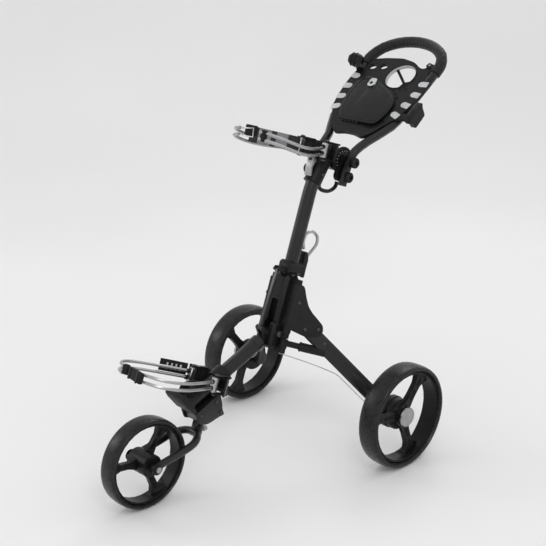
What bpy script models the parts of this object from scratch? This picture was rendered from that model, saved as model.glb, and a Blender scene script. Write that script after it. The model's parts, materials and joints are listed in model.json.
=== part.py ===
# Three-wheel folding golf push cart, modelled as separate pieces.
# Metres, +Z up.  The cart heads towards -Y; its left side is +X.
import math

import bmesh
import bpy
from mathutils import Matrix, Vector

# ---------------------------------------------------------------- driving dimensions
GAP = 0.0003                # running and seating gap between neighbouring pieces

REAR_RADIUS = 0.145         # rear wheels, 290 mm over the tyre
REAR_WIDTH = 0.062
FRONT_RADIUS = 0.121        # front wheel, 242 mm over the tyre
FRONT_WIDTH = 0.052
TRACK = 0.621               # between the middles of the rear tyres
WHEELBASE = 0.641
TURN_STEPS = 32             # facets round a wheel

TUBE_RADIUS = 0.019         # mast and front tube, 38 mm
HANDLE_RADIUS = 0.012       # handle hoop, 24 mm
GRIP_RADIUS = 0.0158
GRIP_START = 19             # the grip begins at this station of the hoop's path, counted from each end

MAST_LEAN = math.radians(20.0)      # mast, from the vertical
HEAD_LEAN = math.radians(36.0)      # upper end of the mast inside its collar
FRONT_SLOPE = math.radians(22.0)    # front tube, down towards the front wheel
CONSOLE_TILT = math.radians(36.3)   # console face, from the ground
UPPER_TILT = math.radians(18.0)     # upper bag cradle, rising to the front
LOWER_TILT = math.radians(21.0)     # lower bag cradle

# Places are given from the rear axle line: y = 0 on the axle, z = 0 on the ground.
MAST_FOOT = Vector((0.0, -0.1876, 0.330))       # on the mast's middle line
FRONT_HINGE = Vector((0.0, -0.1927, 0.3548))    # front tube folds here
HEAD_POINT = Vector((0.0, -0.012, 0.777))       # middle of the mast collar
CLUTCH_POINT = Vector((0.0, 0.049, 0.795))      # handle folds here
CONSOLE_POINT = Vector((0.0, 0.2715, 0.980))    # in the plane of the handle hoop
UPPER_PIVOT = Vector((0.0, -0.031, 0.848))      # line of the upper cradle's pins
LOWER_PIVOT = Vector((0.0, -0.433, 0.295))      # line of the lower cradle's pins
STEER_POINT = Vector((0.0, -0.4625, 0.155))     # on the fork's steering line
CAM_POINT = Vector((0.0, -0.036, 0.806))        # cam lever's pin
ARM_BOLT = Vector((0.0, 0.026, 0.759))          # lower bolt of the handle arms

LEG_HINGE_X = 0.044         # the rear legs swing on lines beside the mast
LEG_END_X = TRACK / 2 - 0.055
CRADLE_X = 0.045            # cradle arm pins, each side of the middle
ROD_RADIUS = 0.0042

# The ground footprint is centred on the origin, so the axle line sits behind it.
AXLE_Y = 0.1750

# Points in the mast's frame (rearwards, up the mast) and the front tube's (forwards, up).
LINK_TOP = (-0.0464, 0.1907)
LINK_FOOT = (0.0294, 0.0348)
LATCH_PIN = (0.0425, 0.1930)

# Cradle rods from the pin: (x, forwards).  The second rod runs one step below the first.
ROD_ROUTE = [(0.045, 0.004), (0.055, 0.030), (0.074, 0.078), (0.090, 0.128), (0.096, 0.170), (0.088, 0.208),
             (0.064, 0.233), (0.036, 0.246)]
ROD_STEP = 0.0175

# Console, in the plane of the handle hoop: (x, up the tray).
TRAY_TOP = 0.004
TRAY_BOTTOM = -0.006
TRAY_OUTLINE = [(-0.007, 0.088), (-0.065, 0.081), (-0.116, 0.068), (-0.130, 0.040), (-0.137, 0.005),
                (-0.137, -0.035),
                (-0.131, -0.082), (-0.121, -0.125), (-0.097, -0.158), (-0.076, -0.192), (-0.046, -0.215),
                (-0.014, -0.2065), (0.020, -0.2065), (0.052, -0.215), (0.078, -0.192), (0.097, -0.158),
                (0.121, -0.125), (0.131, -0.082), (0.137, -0.035), (0.137, 0.010), (0.128, 0.066),
                (0.096, 0.077),
                (0.086, 0.060), (0.070, 0.061), (0.040, 0.079)]
CUP_PLACE = (0.029, 0.020)
CUP_RADIUS = 0.046
LID_HINGE_Y = -0.168
LID_OUTLINE = [(-0.062, -0.168), (-0.087, -0.123), (-0.097, -0.072), (-0.096, -0.031), (-0.083, -0.008),
               (-0.058, 0.001),
               (-0.020, -0.016), (0.018, -0.034), (0.057, -0.055), (0.082, -0.083), (0.084, -0.117),
               (0.070, -0.168)]
LID_INSIDE = [(-0.054, -0.160), (-0.078, -0.118), (-0.087, -0.072), (-0.086, -0.038), (-0.077, -0.020),
              (-0.059, -0.010),
              (-0.024, -0.027), (0.014, -0.044), (0.050, -0.064), (0.072, -0.088), (0.074, -0.115),
              (0.061, -0.160)]
LATCH_PLACE = (-0.039, -0.025)
BRAKE_PIN = (-0.118, -0.001)    # up the tray, out of its plane

# Grip pads: middle (x on its own side, forwards, up), length, height.
PADS = {
    "lower_arm_left": (0.018, 0.249, -0.0102, 0.066, 0.028),
    "lower_arm_right": (0.029, 0.243, -0.0080, 0.018, 0.026),
    "upper_arm_left": (0.047, 0.240, -0.0100, 0.018, 0.030),
    "upper_arm_right": (0.004, 0.236, -0.0030, 0.034, 0.028),
}

BLACK = (0.018, 0.018, 0.019)
SOFT_BLACK = (0.028, 0.028, 0.029)
SILVER = (0.62, 0.62, 0.63)
LIGHT_GREY = (0.55, 0.56, 0.57)


# ---------------------------------------------------------------- scene and placing
def clear_scene():
    for old in list(bpy.data.objects):
        bpy.data.objects.remove(old, do_unlink=True)


def make_collection(name):
    collection = bpy.data.collections.new(name)
    bpy.context.scene.collection.children.link(collection)
    return collection


def make_material(name, colour, roughness, metallic):
    material = bpy.data.materials.new(name)
    material.use_nodes = True
    shader = material.node_tree.nodes["Principled BSDF"]
    shader.inputs["Base Color"].default_value = (*colour, 1.0)
    shader.inputs["Roughness"].default_value = roughness
    shader.inputs["Metallic"].default_value = metallic
    return material


def make_frame(name, place, turn=(0.0, 0.0, 0.0), parent=None):
    """An empty that stands on a joint's axis and carries the pieces of its body."""
    frame = bpy.data.objects.new(name, None)
    frame.empty_display_size = 0.03
    frame.location = place
    frame.rotation_euler = turn
    frame.parent = parent
    PARTS.objects.link(frame)
    return frame


def put(name, mesh, parent, place=(0.0, 0.0, 0.0), turn=(0.0, 0.0, 0.0)):
    piece = bpy.data.objects.new(name, mesh)
    piece.parent = parent
    piece.location = place
    piece.rotation_euler = turn
    PARTS.objects.link(piece)
    return piece


def finish(piece, colour=BLACK, roughness=0.45, metallic=0.0):
    """Gives a piece its own material and smooth round faces."""
    piece.data.materials.clear()
    piece.data.materials.append(make_material(piece.name, colour, roughness, metallic))
    piece.data.shade_smooth()
    piece.data.set_sharp_from_angle(angle=math.radians(35.0))
    return piece


# ---------------------------------------------------------------- shapes
def bevel(piece, width, segments=1):
    modifier = piece.modifiers.new("bevel", "BEVEL")
    modifier.width = width
    modifier.segments = segments
    modifier.limit_method = "ANGLE"
    modifier.angle_limit = math.radians(40.0)
    return piece


def combine(piece, other, operation):
    """Joins another solid to a piece, or cuts it away."""
    modifier = piece.modifiers.new(operation.lower(), "BOOLEAN")
    modifier.operation = operation
    modifier.solver = "EXACT"
    modifier.object = other
    other.hide_render = True
    other.display_type = "WIRE"
    if other.name in PARTS.objects:
        PARTS.objects.unlink(other)
        CUTTERS.objects.link(other)
    return piece


def join(piece, *others):
    for other in others:
        combine(piece, other, "UNION")
    return piece


def cut(piece, *others):
    for other in others:
        combine(piece, other, "DIFFERENCE")
    return piece


def block(name, parent, low, high, place=(0.0, 0.0, 0.0), turn=(0.0, 0.0, 0.0)):
    """A box between two corners, in its parent's frame."""
    low = Vector(low)
    high = Vector(high)
    size = Vector(abs(edge) for edge in high - low)
    build = bmesh.new()
    matrix = Matrix.Translation((low + high) / 2) @ Matrix.Diagonal((*size, 1.0))
    bmesh.ops.create_cube(build, size=1.0, matrix=matrix)
    mesh = bpy.data.meshes.new(name)
    build.to_mesh(mesh)
    build.free()
    return put(name, mesh, parent, place, turn)


def cylinder(name, parent, radius, start, end, segments=20):
    """A round bar between two points in its parent's frame."""
    start = Vector(start)
    end = Vector(end)
    along = end - start
    turn = Vector((0.0, 0.0, 1.0)).rotation_difference(along).to_matrix().to_4x4()
    build = bmesh.new()
    bmesh.ops.create_cone(
        build,
        cap_ends=True,
        segments=segments,
        radius1=radius,
        radius2=radius,
        depth=along.length,
        matrix=Matrix.Translation((start + end) / 2) @ turn,
    )
    mesh = bpy.data.meshes.new(name)
    build.to_mesh(mesh)
    build.free()
    return put(name, mesh, parent)


def turned(name, parent, profile, closed, steps=TURN_STEPS, place=(0.0, 0.0, 0.0), turn=None):
    """A turned shape: (radius, height) points, from the top down the outer side."""
    mesh = bpy.data.meshes.new(name)
    points = [(radius, 0.0, height) for radius, height in profile]
    edges = [(i, i + 1) for i in range(len(points) - 1)]
    if closed:
        edges.append((len(points) - 1, 0))
    mesh.from_pydata(points, edges, [])
    piece = put(name, mesh, parent, place, turn or (0.0, 0.0, 0.0))
    screw = piece.modifiers.new("screw", "SCREW")
    screw.steps = steps
    screw.render_steps = steps
    screw.use_merge_vertices = True
    screw.merge_threshold = 0.00001
    return piece


def arc(centre, radius, start, end, steps):
    """Points on an arc, angles in degrees."""
    points = []
    for i in range(steps + 1):
        angle = math.radians(start + (end - start) * i / steps)
        points.append((centre[0] + radius * math.cos(angle), centre[1] + radius * math.sin(angle)))
    return points


def round_corners(points, radius, steps=3, closed=False):
    """Rounds the corners of a run of 2-D or 3-D points."""
    points = [Vector(point) for point in points]
    count = len(points)
    result = []
    for i, corner in enumerate(points):
        if not closed and i in (0, count - 1):
            result.append(corner)
            continue
        before = points[i - 1] - corner
        after = points[(i + 1) % count] - corner
        reach = min(radius, before.length * 0.45, after.length * 0.45)
        first = corner + before.normalized() * reach
        last = corner + after.normalized() * reach
        for step in range(steps + 1):
            t = step / steps
            result.append(first * (1 - t) ** 2 + corner * 2 * t * (1 - t) + last * t ** 2)
    return result


def smooth_path(points, steps):
    """A smooth path through hand-set points (Catmull-Rom)."""
    points = [Vector(point) for point in points]
    ends = [points[0] * 2 - points[1]] + points + [points[-1] * 2 - points[-2]]
    result = []
    for i in range(1, len(ends) - 2):
        p0, p1, p2, p3 = ends[i - 1:i + 3]
        for step in range(steps):
            t = step / steps
            result.append(
                0.5 * (2 * p1 + (p2 - p0) * t + (2 * p0 - 5 * p1 + 4 * p2 - p3) * t ** 2
                       + (3 * p1 - 3 * p2 + p3 - p0) * t ** 3)
            )
    result.append(points[-1])
    return result


def curve_to_mesh(name, curve, parent, place=(0.0, 0.0, 0.0), turn=(0.0, 0.0, 0.0)):
    holder = bpy.data.objects.new(name + "_curve", curve)
    PARTS.objects.link(holder)
    bpy.context.view_layer.update()
    depsgraph = bpy.context.evaluated_depsgraph_get()
    mesh = bpy.data.meshes.new_from_object(holder.evaluated_get(depsgraph))
    mesh.name = name
    bpy.data.objects.remove(holder, do_unlink=True)
    build = bmesh.new()
    build.from_mesh(mesh)
    bmesh.ops.remove_doubles(build, verts=build.verts, dist=0.00001)
    bmesh.ops.recalc_face_normals(build, faces=build.faces)
    build.to_mesh(mesh)
    build.free()
    return put(name, mesh, parent, place, turn)


def tube(name, parent, points, radius, resolution=4):
    """A round bar along a path, with flat ends."""
    curve = bpy.data.curves.new(name, "CURVE")
    curve.dimensions = "3D"
    curve.bevel_depth = radius
    curve.bevel_resolution = resolution
    curve.use_fill_caps = True
    spline = curve.splines.new("POLY")
    spline.points.add(len(points) - 1)
    for point, place in zip(spline.points, points):
        point.co = (*place, 1.0)
    return curve_to_mesh(name, curve, parent)


def plate(name, parent, outline, thickness, place=(0.0, 0.0, 0.0), turn=(0.0, 0.0, 0.0), holes=()):
    """A flat plate: an outline in its own XY plane, half its thickness each side."""
    curve = bpy.data.curves.new(name, "CURVE")
    curve.dimensions = "2D"
    curve.fill_mode = "BOTH"
    curve.extrude = thickness / 2
    for ring in (outline, *holes):
        spline = curve.splines.new("POLY")
        spline.points.add(len(ring) - 1)
        for point, place_2d in zip(spline.points, ring):
            point.co = (place_2d[0], place_2d[1], 0.0, 1.0)
        spline.use_cyclic_u = True
    return curve_to_mesh(name, curve, parent, place, turn)


# A plate's outline is (forwards, up) when it is turned to stand along the cart:
# its local x then points to -Y and its thickness lies along X.
UPRIGHT = (math.radians(90.0), 0.0, math.radians(-90.0))
# A lathe's axis turned to lie across the cart, its top towards +X.
ACROSS = (0.0, math.radians(90.0), 0.0)


# ---------------------------------------------------------------- wheels
def tyre_profile(radius, width, bead):
    """A closed rim-side flat with a full, rounded crown."""
    half = width / 2
    shoulder = radius - (radius - bead) * 0.55
    crown = [
        (shoulder + (radius - shoulder) * math.sin(math.radians(angle)),
         half * math.cos(math.radians(angle)))
        for angle in range(0, 181, 45)
    ]
    return [(bead, half * 0.82)] + crown + [(bead, -half * 0.82)]


def spider_outline(hub, waist, foot, length, clock):
    """Three spokes in one outline: wide on the hub, narrow, then flared to end inside the rim."""
    spread = math.degrees(math.asin(foot / length))
    side = [(0.78 * hub, 0.52 * hub), (0.36 * length + 0.50 * hub, waist), (0.74 * length, waist * 1.05),
            (0.88 * length, foot * 0.62)]
    spoke = [(x, -y) for x, y in side] + arc((0, 0), length, -spread, spread, 6) + side[::-1]
    outline = []
    for i in range(3):
        turn = Matrix.Rotation(clock + math.radians(120.0 * i), 2)
        outline += [turn @ Vector(point) for point in spoke]
    return outline


def make_wheel(name, frame, outward, radius, width, hub_radius, hub_half, bore, clock, drum=()):
    """Tyre and three-spoke wheel, turning on the frame's X axis."""
    bead = radius * 0.880
    tyre = turned(name + "_tyre", frame, tyre_profile(radius, width, bead), True, turn=ACROSS)
    finish(tyre, SOFT_BLACK, 0.62)

    rim_out = bead - GAP
    rim_in = radius * 0.838
    rim_half = width * 0.36
    rim = [(rim_in, rim_half), (rim_out, rim_half), (rim_out, -rim_half), (rim_in, -rim_half)]
    wheel = turned(name + "_wheel", frame, rim, True, turn=ACROSS)
    hub = cylinder(name + "_hub", frame, hub_radius, (-hub_half, 0, 0), (hub_half, 0, 0), 22)
    outline = spider_outline(hub_radius, radius * 0.072, radius * 0.215, (rim_in + rim_out) / 2, clock)
    spider = plate(
        name + "_spider", frame, outline, width * 0.25,
        place=(-outward * width * 0.05, 0.0, 0.0), turn=(0.0, math.radians(-90.0), 0.0),
    )
    join(wheel, spider, hub, *drum)
    cut(wheel, cylinder(name + "_bore", frame, bore, (-0.08, 0, 0), (0.08, 0, 0), 18))
    finish(wheel, BLACK, 0.40)


def make_rear_wheel(side, word):
    """Wheel with its brake drum, and the quick-release cap; side is +1 for the left."""
    name = "rear_" + word
    frame = make_frame("wheel_axis_" + word, (side * TRACK / 2, 0.0, REAR_RADIUS), parent=CART)
    clock = math.radians(40.0) if side > 0 else math.radians(80.0)
    drum = cylinder("drum_" + word, frame, 0.043, (-side * 0.0070, 0, 0), (-side * 0.0230, 0, 0), 24)
    make_wheel(name, frame, side, REAR_RADIUS, REAR_WIDTH, 0.029, 0.0115, 0.0078, clock, [drum])

    cap = cylinder("hub_cap_" + word, frame, 0.027, (side * 0.0152, 0, 0), (side * 0.022, 0, 0), 24)
    bevel(cap, 0.0018)
    join(cap, cylinder("cap_stem_" + word, frame, 0.0048, (side * 0.008, 0, 0), (side * 0.017, 0, 0), 16))
    finish(cap, SILVER, 0.30, 0.9)


# ---------------------------------------------------------------- rear legs
def make_leg(side, word):
    """Everything that swings on the hinge line beside the mast: gusset, leg, strut, axle, brake."""
    reach = LEG_END_X - LEG_HINGE_X
    back = (0.0 - MAST_FOOT.y) * math.cos(MAST_LEAN) - (REAR_RADIUS - MAST_FOOT.z) * math.sin(MAST_LEAN)
    drop = (0.0 - MAST_FOOT.y) * math.sin(MAST_LEAN) + (REAR_RADIUS - MAST_FOOT.z) * math.cos(MAST_LEAN)
    length = math.hypot(reach, back)
    splay = math.atan2(back, reach)
    turn = splay if side > 0 else math.pi - splay
    frame = make_frame("leg_hinge_" + word, (side * LEG_HINGE_X, 0.0, 0.0), (0.0, 0.0, turn), MAST)

    # In this frame x runs out along the leg and z up along the hinge line.
    root = Vector((0.088, 0.0, 0.0320))
    foot = Vector((length, 0.0, drop))
    angle = math.atan2(foot.z - root.z, foot.x - root.x)
    span = (foot - root).length
    half_deep = 0.021
    half_thick = 0.0095

    def leg_block(name, grow, start, end, deep=half_deep, thick=half_thick):
        low = (start, -thick - grow, -deep - grow)
        high = (end, thick + grow, deep + grow)
        return block(name, frame, low, high, root, (0.0, -angle, 0.0))

    leg = leg_block("leg_" + word, 0.0, -0.034, span - 0.016)
    bevel(leg, 0.004)
    grooves = []
    for face in (1, -1):
        groove = block(
            f"leg_groove_{word}_{face}", frame, (0.030, face * 0.0075, 0.001),
            (span - 0.050, face * 0.0125, 0.008),
            root, (0.0, -angle, 0.0),
        )
        grooves.append(groove)
    wheel_frame = bpy.data.objects["wheel_axis_" + word]
    axle_block = cylinder("axle_block_" + word, wheel_frame, 0.021, (-side * 0.0425, 0, 0),
                          (-side * 0.072, 0, 0), 20)
    axle_bore = cylinder("axle_bore_" + word, wheel_frame, 0.0078, (-side * 0.03, 0, 0),
                         (-side * 0.070, 0, 0), 18)
    join(leg, axle_block)
    cut(leg, *grooves, axle_bore)
    finish(leg, BLACK, 0.38, 0.3)

    # Gusset: a thick side cover whose front edge is a barrel on the hinge line.
    outline = round_corners(
        [(-0.004, 0.165), (-0.004, 0.045), (0.010, 0.040), (0.051, 0.0315), (0.088, 0.0405), (0.096, 0.052),
         (0.092, 0.072), (0.075, 0.085), (0.054, 0.100), (0.040, 0.115), (0.028, 0.138), (0.017, 0.165)],
        0.007, 2, True,
    )
    gusset = plate("gusset_" + word, frame, outline, 0.027, turn=(math.radians(90.0), 0.0, 0.0))
    bevel(gusset, 0.003)
    barrel = cylinder("gusset_barrel_" + word, frame, 0.0115, (0, 0, 0.0295), (0, 0, 0.1650), 16)
    join(gusset, barrel)
    cut(gusset, cylinder("gusset_bore_" + word, frame, 0.0052, (0, 0, 0.0), (0, 0, 0.2), 16))
    cut(gusset, leg_block("gusset_pocket_" + word, GAP, -0.036, span))
    finish(gusset, SOFT_BLACK, 0.42)

    # Telescopic strut from the hub to the leg.
    level = 0.001
    strut = cylinder("strut_" + word, frame, 0.0085, (0.004, 0, level), (0.070, 0, level), 16)
    sleeve = cylinder("strut_sleeve_" + word, frame, 0.0125, (0.046, 0, level), (0.116, 0, level), 16)
    eye = cylinder("strut_eye_" + word, frame, 0.0115, (0, 0, -0.0125), (0, 0, 0.0118), 16)
    join(strut, sleeve, eye)
    cut(strut, cylinder("strut_bore_" + word, frame, 0.0052, (0, 0, -0.1), (0, 0, 0.1), 16))
    cut(strut, leg_block("strut_notch_" + word, GAP, -0.036, span))
    finish(strut, BLACK, 0.45)

    axle = cylinder("axle_" + word, wheel_frame, 0.0075, (-side * 0.068, 0, 0), (side * 0.004, 0, 0), 18)
    finish(axle, SILVER, 0.3, 1.0)

    housing = cylinder("brake_housing_" + word, wheel_frame, 0.045, (-side * 0.0245, 0, 0),
                       (-side * 0.0415, 0, 0), 24)
    bevel(housing, 0.002)
    pin_box = block(
        "brake_box_" + word, wheel_frame, (-0.0085, -0.056, -0.017), (0.0085, -0.030, 0.017),
        (-side * 0.033, 0, 0),
    )
    join(housing, pin_box)
    cut(housing, cylinder("housing_bore_" + word, wheel_frame, 0.0078, (-0.06, 0, 0), (0.06, 0, 0), 18))
    finish(housing, BLACK, 0.45)

    # The cable leaves the hub's lowest lug, runs under the leg and ends on the brake housing.
    cable_points = [(-0.006, 0.0, -0.0290), (0.060, 0.0, -0.0345), (0.115, 0.0, -0.0410),
                    (0.160, 0.0, -0.0490),
                    (0.180, 0.0, -0.0590), (0.210, -0.002 * side, -0.0770), (0.240, -0.006 * side, -0.0950),
                    (0.264, -0.0135 * side, -0.1080), (0.285, -0.0215 * side, -0.1120),
                    (0.3010, -0.0318 * side, -0.1120)]
    cable = tube("brake_cable_" + word, frame, smooth_path(cable_points, 2), 0.0013, 1)
    finish(cable, LIGHT_GREY, 0.5)


# ---------------------------------------------------------------- mast group
def mast_path(extra=0.0):
    """Middle line of the mast tube, from inside the housing up through the collar."""
    up = Vector((0.0, math.sin(MAST_LEAN), math.cos(MAST_LEAN)))
    head = Vector((0.0, math.sin(HEAD_LEAN), math.cos(HEAD_LEAN)))
    bottom = MAST_FOOT + up * (0.056 - extra)
    # The two straight lines meet here.
    offset = HEAD_POINT - MAST_FOOT
    along = (offset.y * head.z - offset.z * head.y) / (up.y * head.z - up.z * head.y)
    corner = MAST_FOOT + up * along
    top = HEAD_POINT + head * (0.040 + extra)
    return round_corners([bottom, corner, top], 0.034, 6)


def make_mast():
    mast = tube("mast_tube", CART, mast_path(), TUBE_RADIUS, 6)
    finish(mast, BLACK, 0.35, 0.4)

    # Lower housing in the mast's own frame: y to the rear, z up the mast.
    housing = block("mast_housing", MAST, (-0.025, -0.027, 0.030), (0.025, 0.027, 0.184))
    bevel(housing, 0.009)
    hub = block("hub_block", MAST, (-0.031, -0.037, -0.022), (0.031, 0.030, 0.052))
    bevel(hub, 0.007)
    join(housing, hub)
    for side in (1, -1):
        x = side * LEG_HINGE_X
        for low, high in ((-0.027, -0.013), (0.0150, 0.0290), (0.1655, 0.1770)):
            lug = block(
                "hinge_lug", MAST, (min(0, x), -0.009, low), (max(0, x), 0.009, high),
            )
            knuckle = cylinder("hinge_knuckle", MAST, 0.010, (x, 0, low), (x, 0, high), 14)
            join(housing, lug, knuckle)
        join(housing, cylinder("hinge_rod", MAST, 0.0048, (x, 0, -0.026), (x, 0, 0.176), 12))
    slot = block("hub_slot", MAST, (-0.0122, -0.060, -0.040), (0.0122, 0.0000, 0.0535))
    foot_slot = block("foot_slot", MAST, (-0.0122, -0.060, 0.050), (0.0122, -0.0205, 0.112))
    mast_bore = cylinder("housing_bore", MAST, TUBE_RADIUS + GAP, (0, 0, 0.0555), (0, 0, 0.25), 16)
    hinge = MAST.matrix_world.inverted() @ CART.matrix_world @ FRONT_HINGE
    pin_bore = cylinder("hub_pin_bore", MAST, 0.0063, (-0.06, hinge.y, hinge.z), (0.06, hinge.y, hinge.z),
                        20)
    cut(housing, slot, foot_slot, mast_bore, pin_bore)
    for side in (1, -1):
        cut(housing, cylinder("pin_head_seat", MAST, 0.0098, (side * 0.0312, hinge.y, hinge.z),
                              (side * 0.0378, hinge.y, hinge.z), 12))
    finish(housing, BLACK, 0.42)

    pin = cylinder("main_pivot_pin", CART, 0.006, FRONT_HINGE + Vector((-0.0365, 0, 0)),
                   FRONT_HINGE + Vector((0.0365, 0, 0)), 20)
    for side in (1, -1):
        head = cylinder(f"main_pin_head_{side}", CART, 0.0088, FRONT_HINGE + Vector((side * 0.0314, 0, 0)),
                        FRONT_HINGE + Vector((side * 0.0370, 0, 0)), 6)
        join(pin, head)
    finish(pin, SILVER, 0.35, 1.0)

    # Collar that clamps the mast's upper end; its boss carries the handle clutch.
    head = Vector((0.0, math.sin(HEAD_LEAN), math.cos(HEAD_LEAN)))
    collar = cylinder("mast_collar", CART, 0.0245, HEAD_POINT - head * 0.043, HEAD_POINT + head * 0.040, 24)
    bevel(collar, 0.0015)
    boss = cylinder("clutch_boss", CART, 0.020, CLUTCH_POINT + Vector((-0.0249, 0, 0)),
                    CLUTCH_POINT + Vector((0.0249, 0, 0)), 24)
    web = block("clutch_web", CART, (-0.018, 0.012, 0.018), (0.018, 0.040, 0.058), HEAD_POINT,
                (-HEAD_LEAN, 0, 0))
    lug = block("cam_lug", CART, (-0.004, -0.006, -0.006), (0.004, 0.022, 0.006), CAM_POINT,
                (0.2, 0.0, 0.0))
    hook_points = [(0, -0.0154, 0.7350), (0, -0.006, 0.720), (0, 0.010, 0.711), (0, 0.032, 0.7065),
                   (0, 0.054, 0.713),
                   (0, 0.062, 0.727)]
    hook = tube("catch_hook", CART, smooth_path(hook_points, 3), 0.0055, 2)
    bore = tube("collar_bore", CART, mast_path(0.012), TUBE_RADIUS + GAP, 6)
    bolt_bore = cylinder("collar_bolt_bore", CART, 0.0053, CLUTCH_POINT + Vector((-0.06, 0, 0)),
                         CLUTCH_POINT + Vector((0.06, 0, 0)), 20)
    cam_bore = cylinder("cam_pin_bore", CART, 0.0028, CAM_POINT + Vector((-0.03, 0, 0)),
                        CAM_POINT + Vector((0.03, 0, 0)), 16)
    join(collar, web, boss, lug, hook)
    cut(collar, bore, bolt_bore, cam_bore)
    finish(collar, BLACK, 0.40)


def make_lock():
    """Sliding lock collar on the mast, its sprung latch and the two fold links."""
    frame = make_frame("lock_slide_frame", (0, 0, 0), parent=MAST)
    collar = block("lock_collar", frame, (-0.024, -0.028, 0.1855), (0.024, 0.031, 0.2200))
    bevel(collar, 0.007)
    lug = block("link_lug", frame, (-0.0135, -0.0535, 0.1865), (0.0135, -0.020, 0.2010))
    bevel(lug, 0.004)
    link_pin = cylinder("link_pin", frame, 0.0032, (-0.0160, *LINK_TOP), (0.0160, *LINK_TOP), 14)
    ear = block("latch_ear", frame, (-0.0058, 0.025, 0.1880), (0.0058, 0.0480, 0.2000))
    bevel(ear, 0.003)
    cut(lug, block("link_slot", frame, (-0.0048, -0.0600, 0.1800), (0.0048, -0.0290, 0.2100)))
    join(collar, lug, link_pin, ear)
    latch_bore = cylinder("latch_bore", frame, 0.0032, (-0.03, *LATCH_PIN), (0.03, *LATCH_PIN), 14)
    mast_bore = cylinder("lock_bore", frame, TUBE_RADIUS + 0.0004, (0, 0, 0.15), (0, 0, 0.26), 16)
    cut(collar, latch_bore, mast_bore)
    finish(collar, BLACK, 0.42)

    latch_frame = make_frame("latch_pivot", (0.0, *LATCH_PIN), parent=frame)
    outline = round_corners(
        [(0.0080, -0.012), (0.0070, 0.010), (0.0075, 0.038), (0.0010, 0.056), (-0.0090, 0.061),
         (-0.0130, 0.052),
         (-0.0085, 0.030), (-0.0090, -0.002), (-0.002, -0.013)],
        0.005, 2, True,
    )
    # Outline is (rearwards, up the mast).
    lever = plate("latch_lever", latch_frame, outline, 0.026,
                  turn=(math.radians(90.0), 0.0, math.radians(90.0)))
    bevel(lever, 0.002)
    slot = block("latch_slot", latch_frame, (-0.0063, -0.03, -0.03), (0.0063, 0.03, 0.0120))
    cut(lever, slot)
    join(lever, cylinder("latch_pin", latch_frame, 0.003, (-0.012, 0, 0), (0.012, 0, 0), 14))
    finish(lever, BLACK, 0.40)

    loop_points = round_corners(
        [(0, -0.0080, 0.0660), (0, -0.0170, 0.0800), (0, -0.0170, 0.1080), (0, 0.0100, 0.1190),
         (0, 0.0360, 0.1060),
         (0, 0.0400, 0.0840), (0, 0.0200, 0.0560), (0, 0.0112, 0.0440)],
        0.012, 2,
    )
    loop = tube("latch_loop", latch_frame, loop_points, 0.0045, 2)
    finish(loop, SILVER, 0.28, 0.9)

    link_frame = make_frame("link_pivot", (0.0, *LINK_TOP), parent=frame)
    top = Vector((0.0, *LINK_TOP))
    bottom = MAST.matrix_world.inverted() @ FRONT.matrix_world @ Vector((0.0, -LINK_FOOT[0], LINK_FOOT[1]))
    along = bottom - top
    length = along.length
    outline = arc((0, 0), 0.0055, 90, 270, 5) + arc((length, 0), 0.0058, -90, 90, 5)
    bar = plate("fold_link", link_frame, outline, 0.009, (0, 0, 0),
                (math.radians(90.0), -math.atan2(along.z, along.y), math.radians(90.0)))
    bevel(bar, 0.0010)
    cut(bar, cylinder("link_hole", link_frame, 0.0036, (-0.01, 0, 0), (0.01, 0, 0), 14))
    finish(bar, BLACK, 0.35, 0.5)


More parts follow.
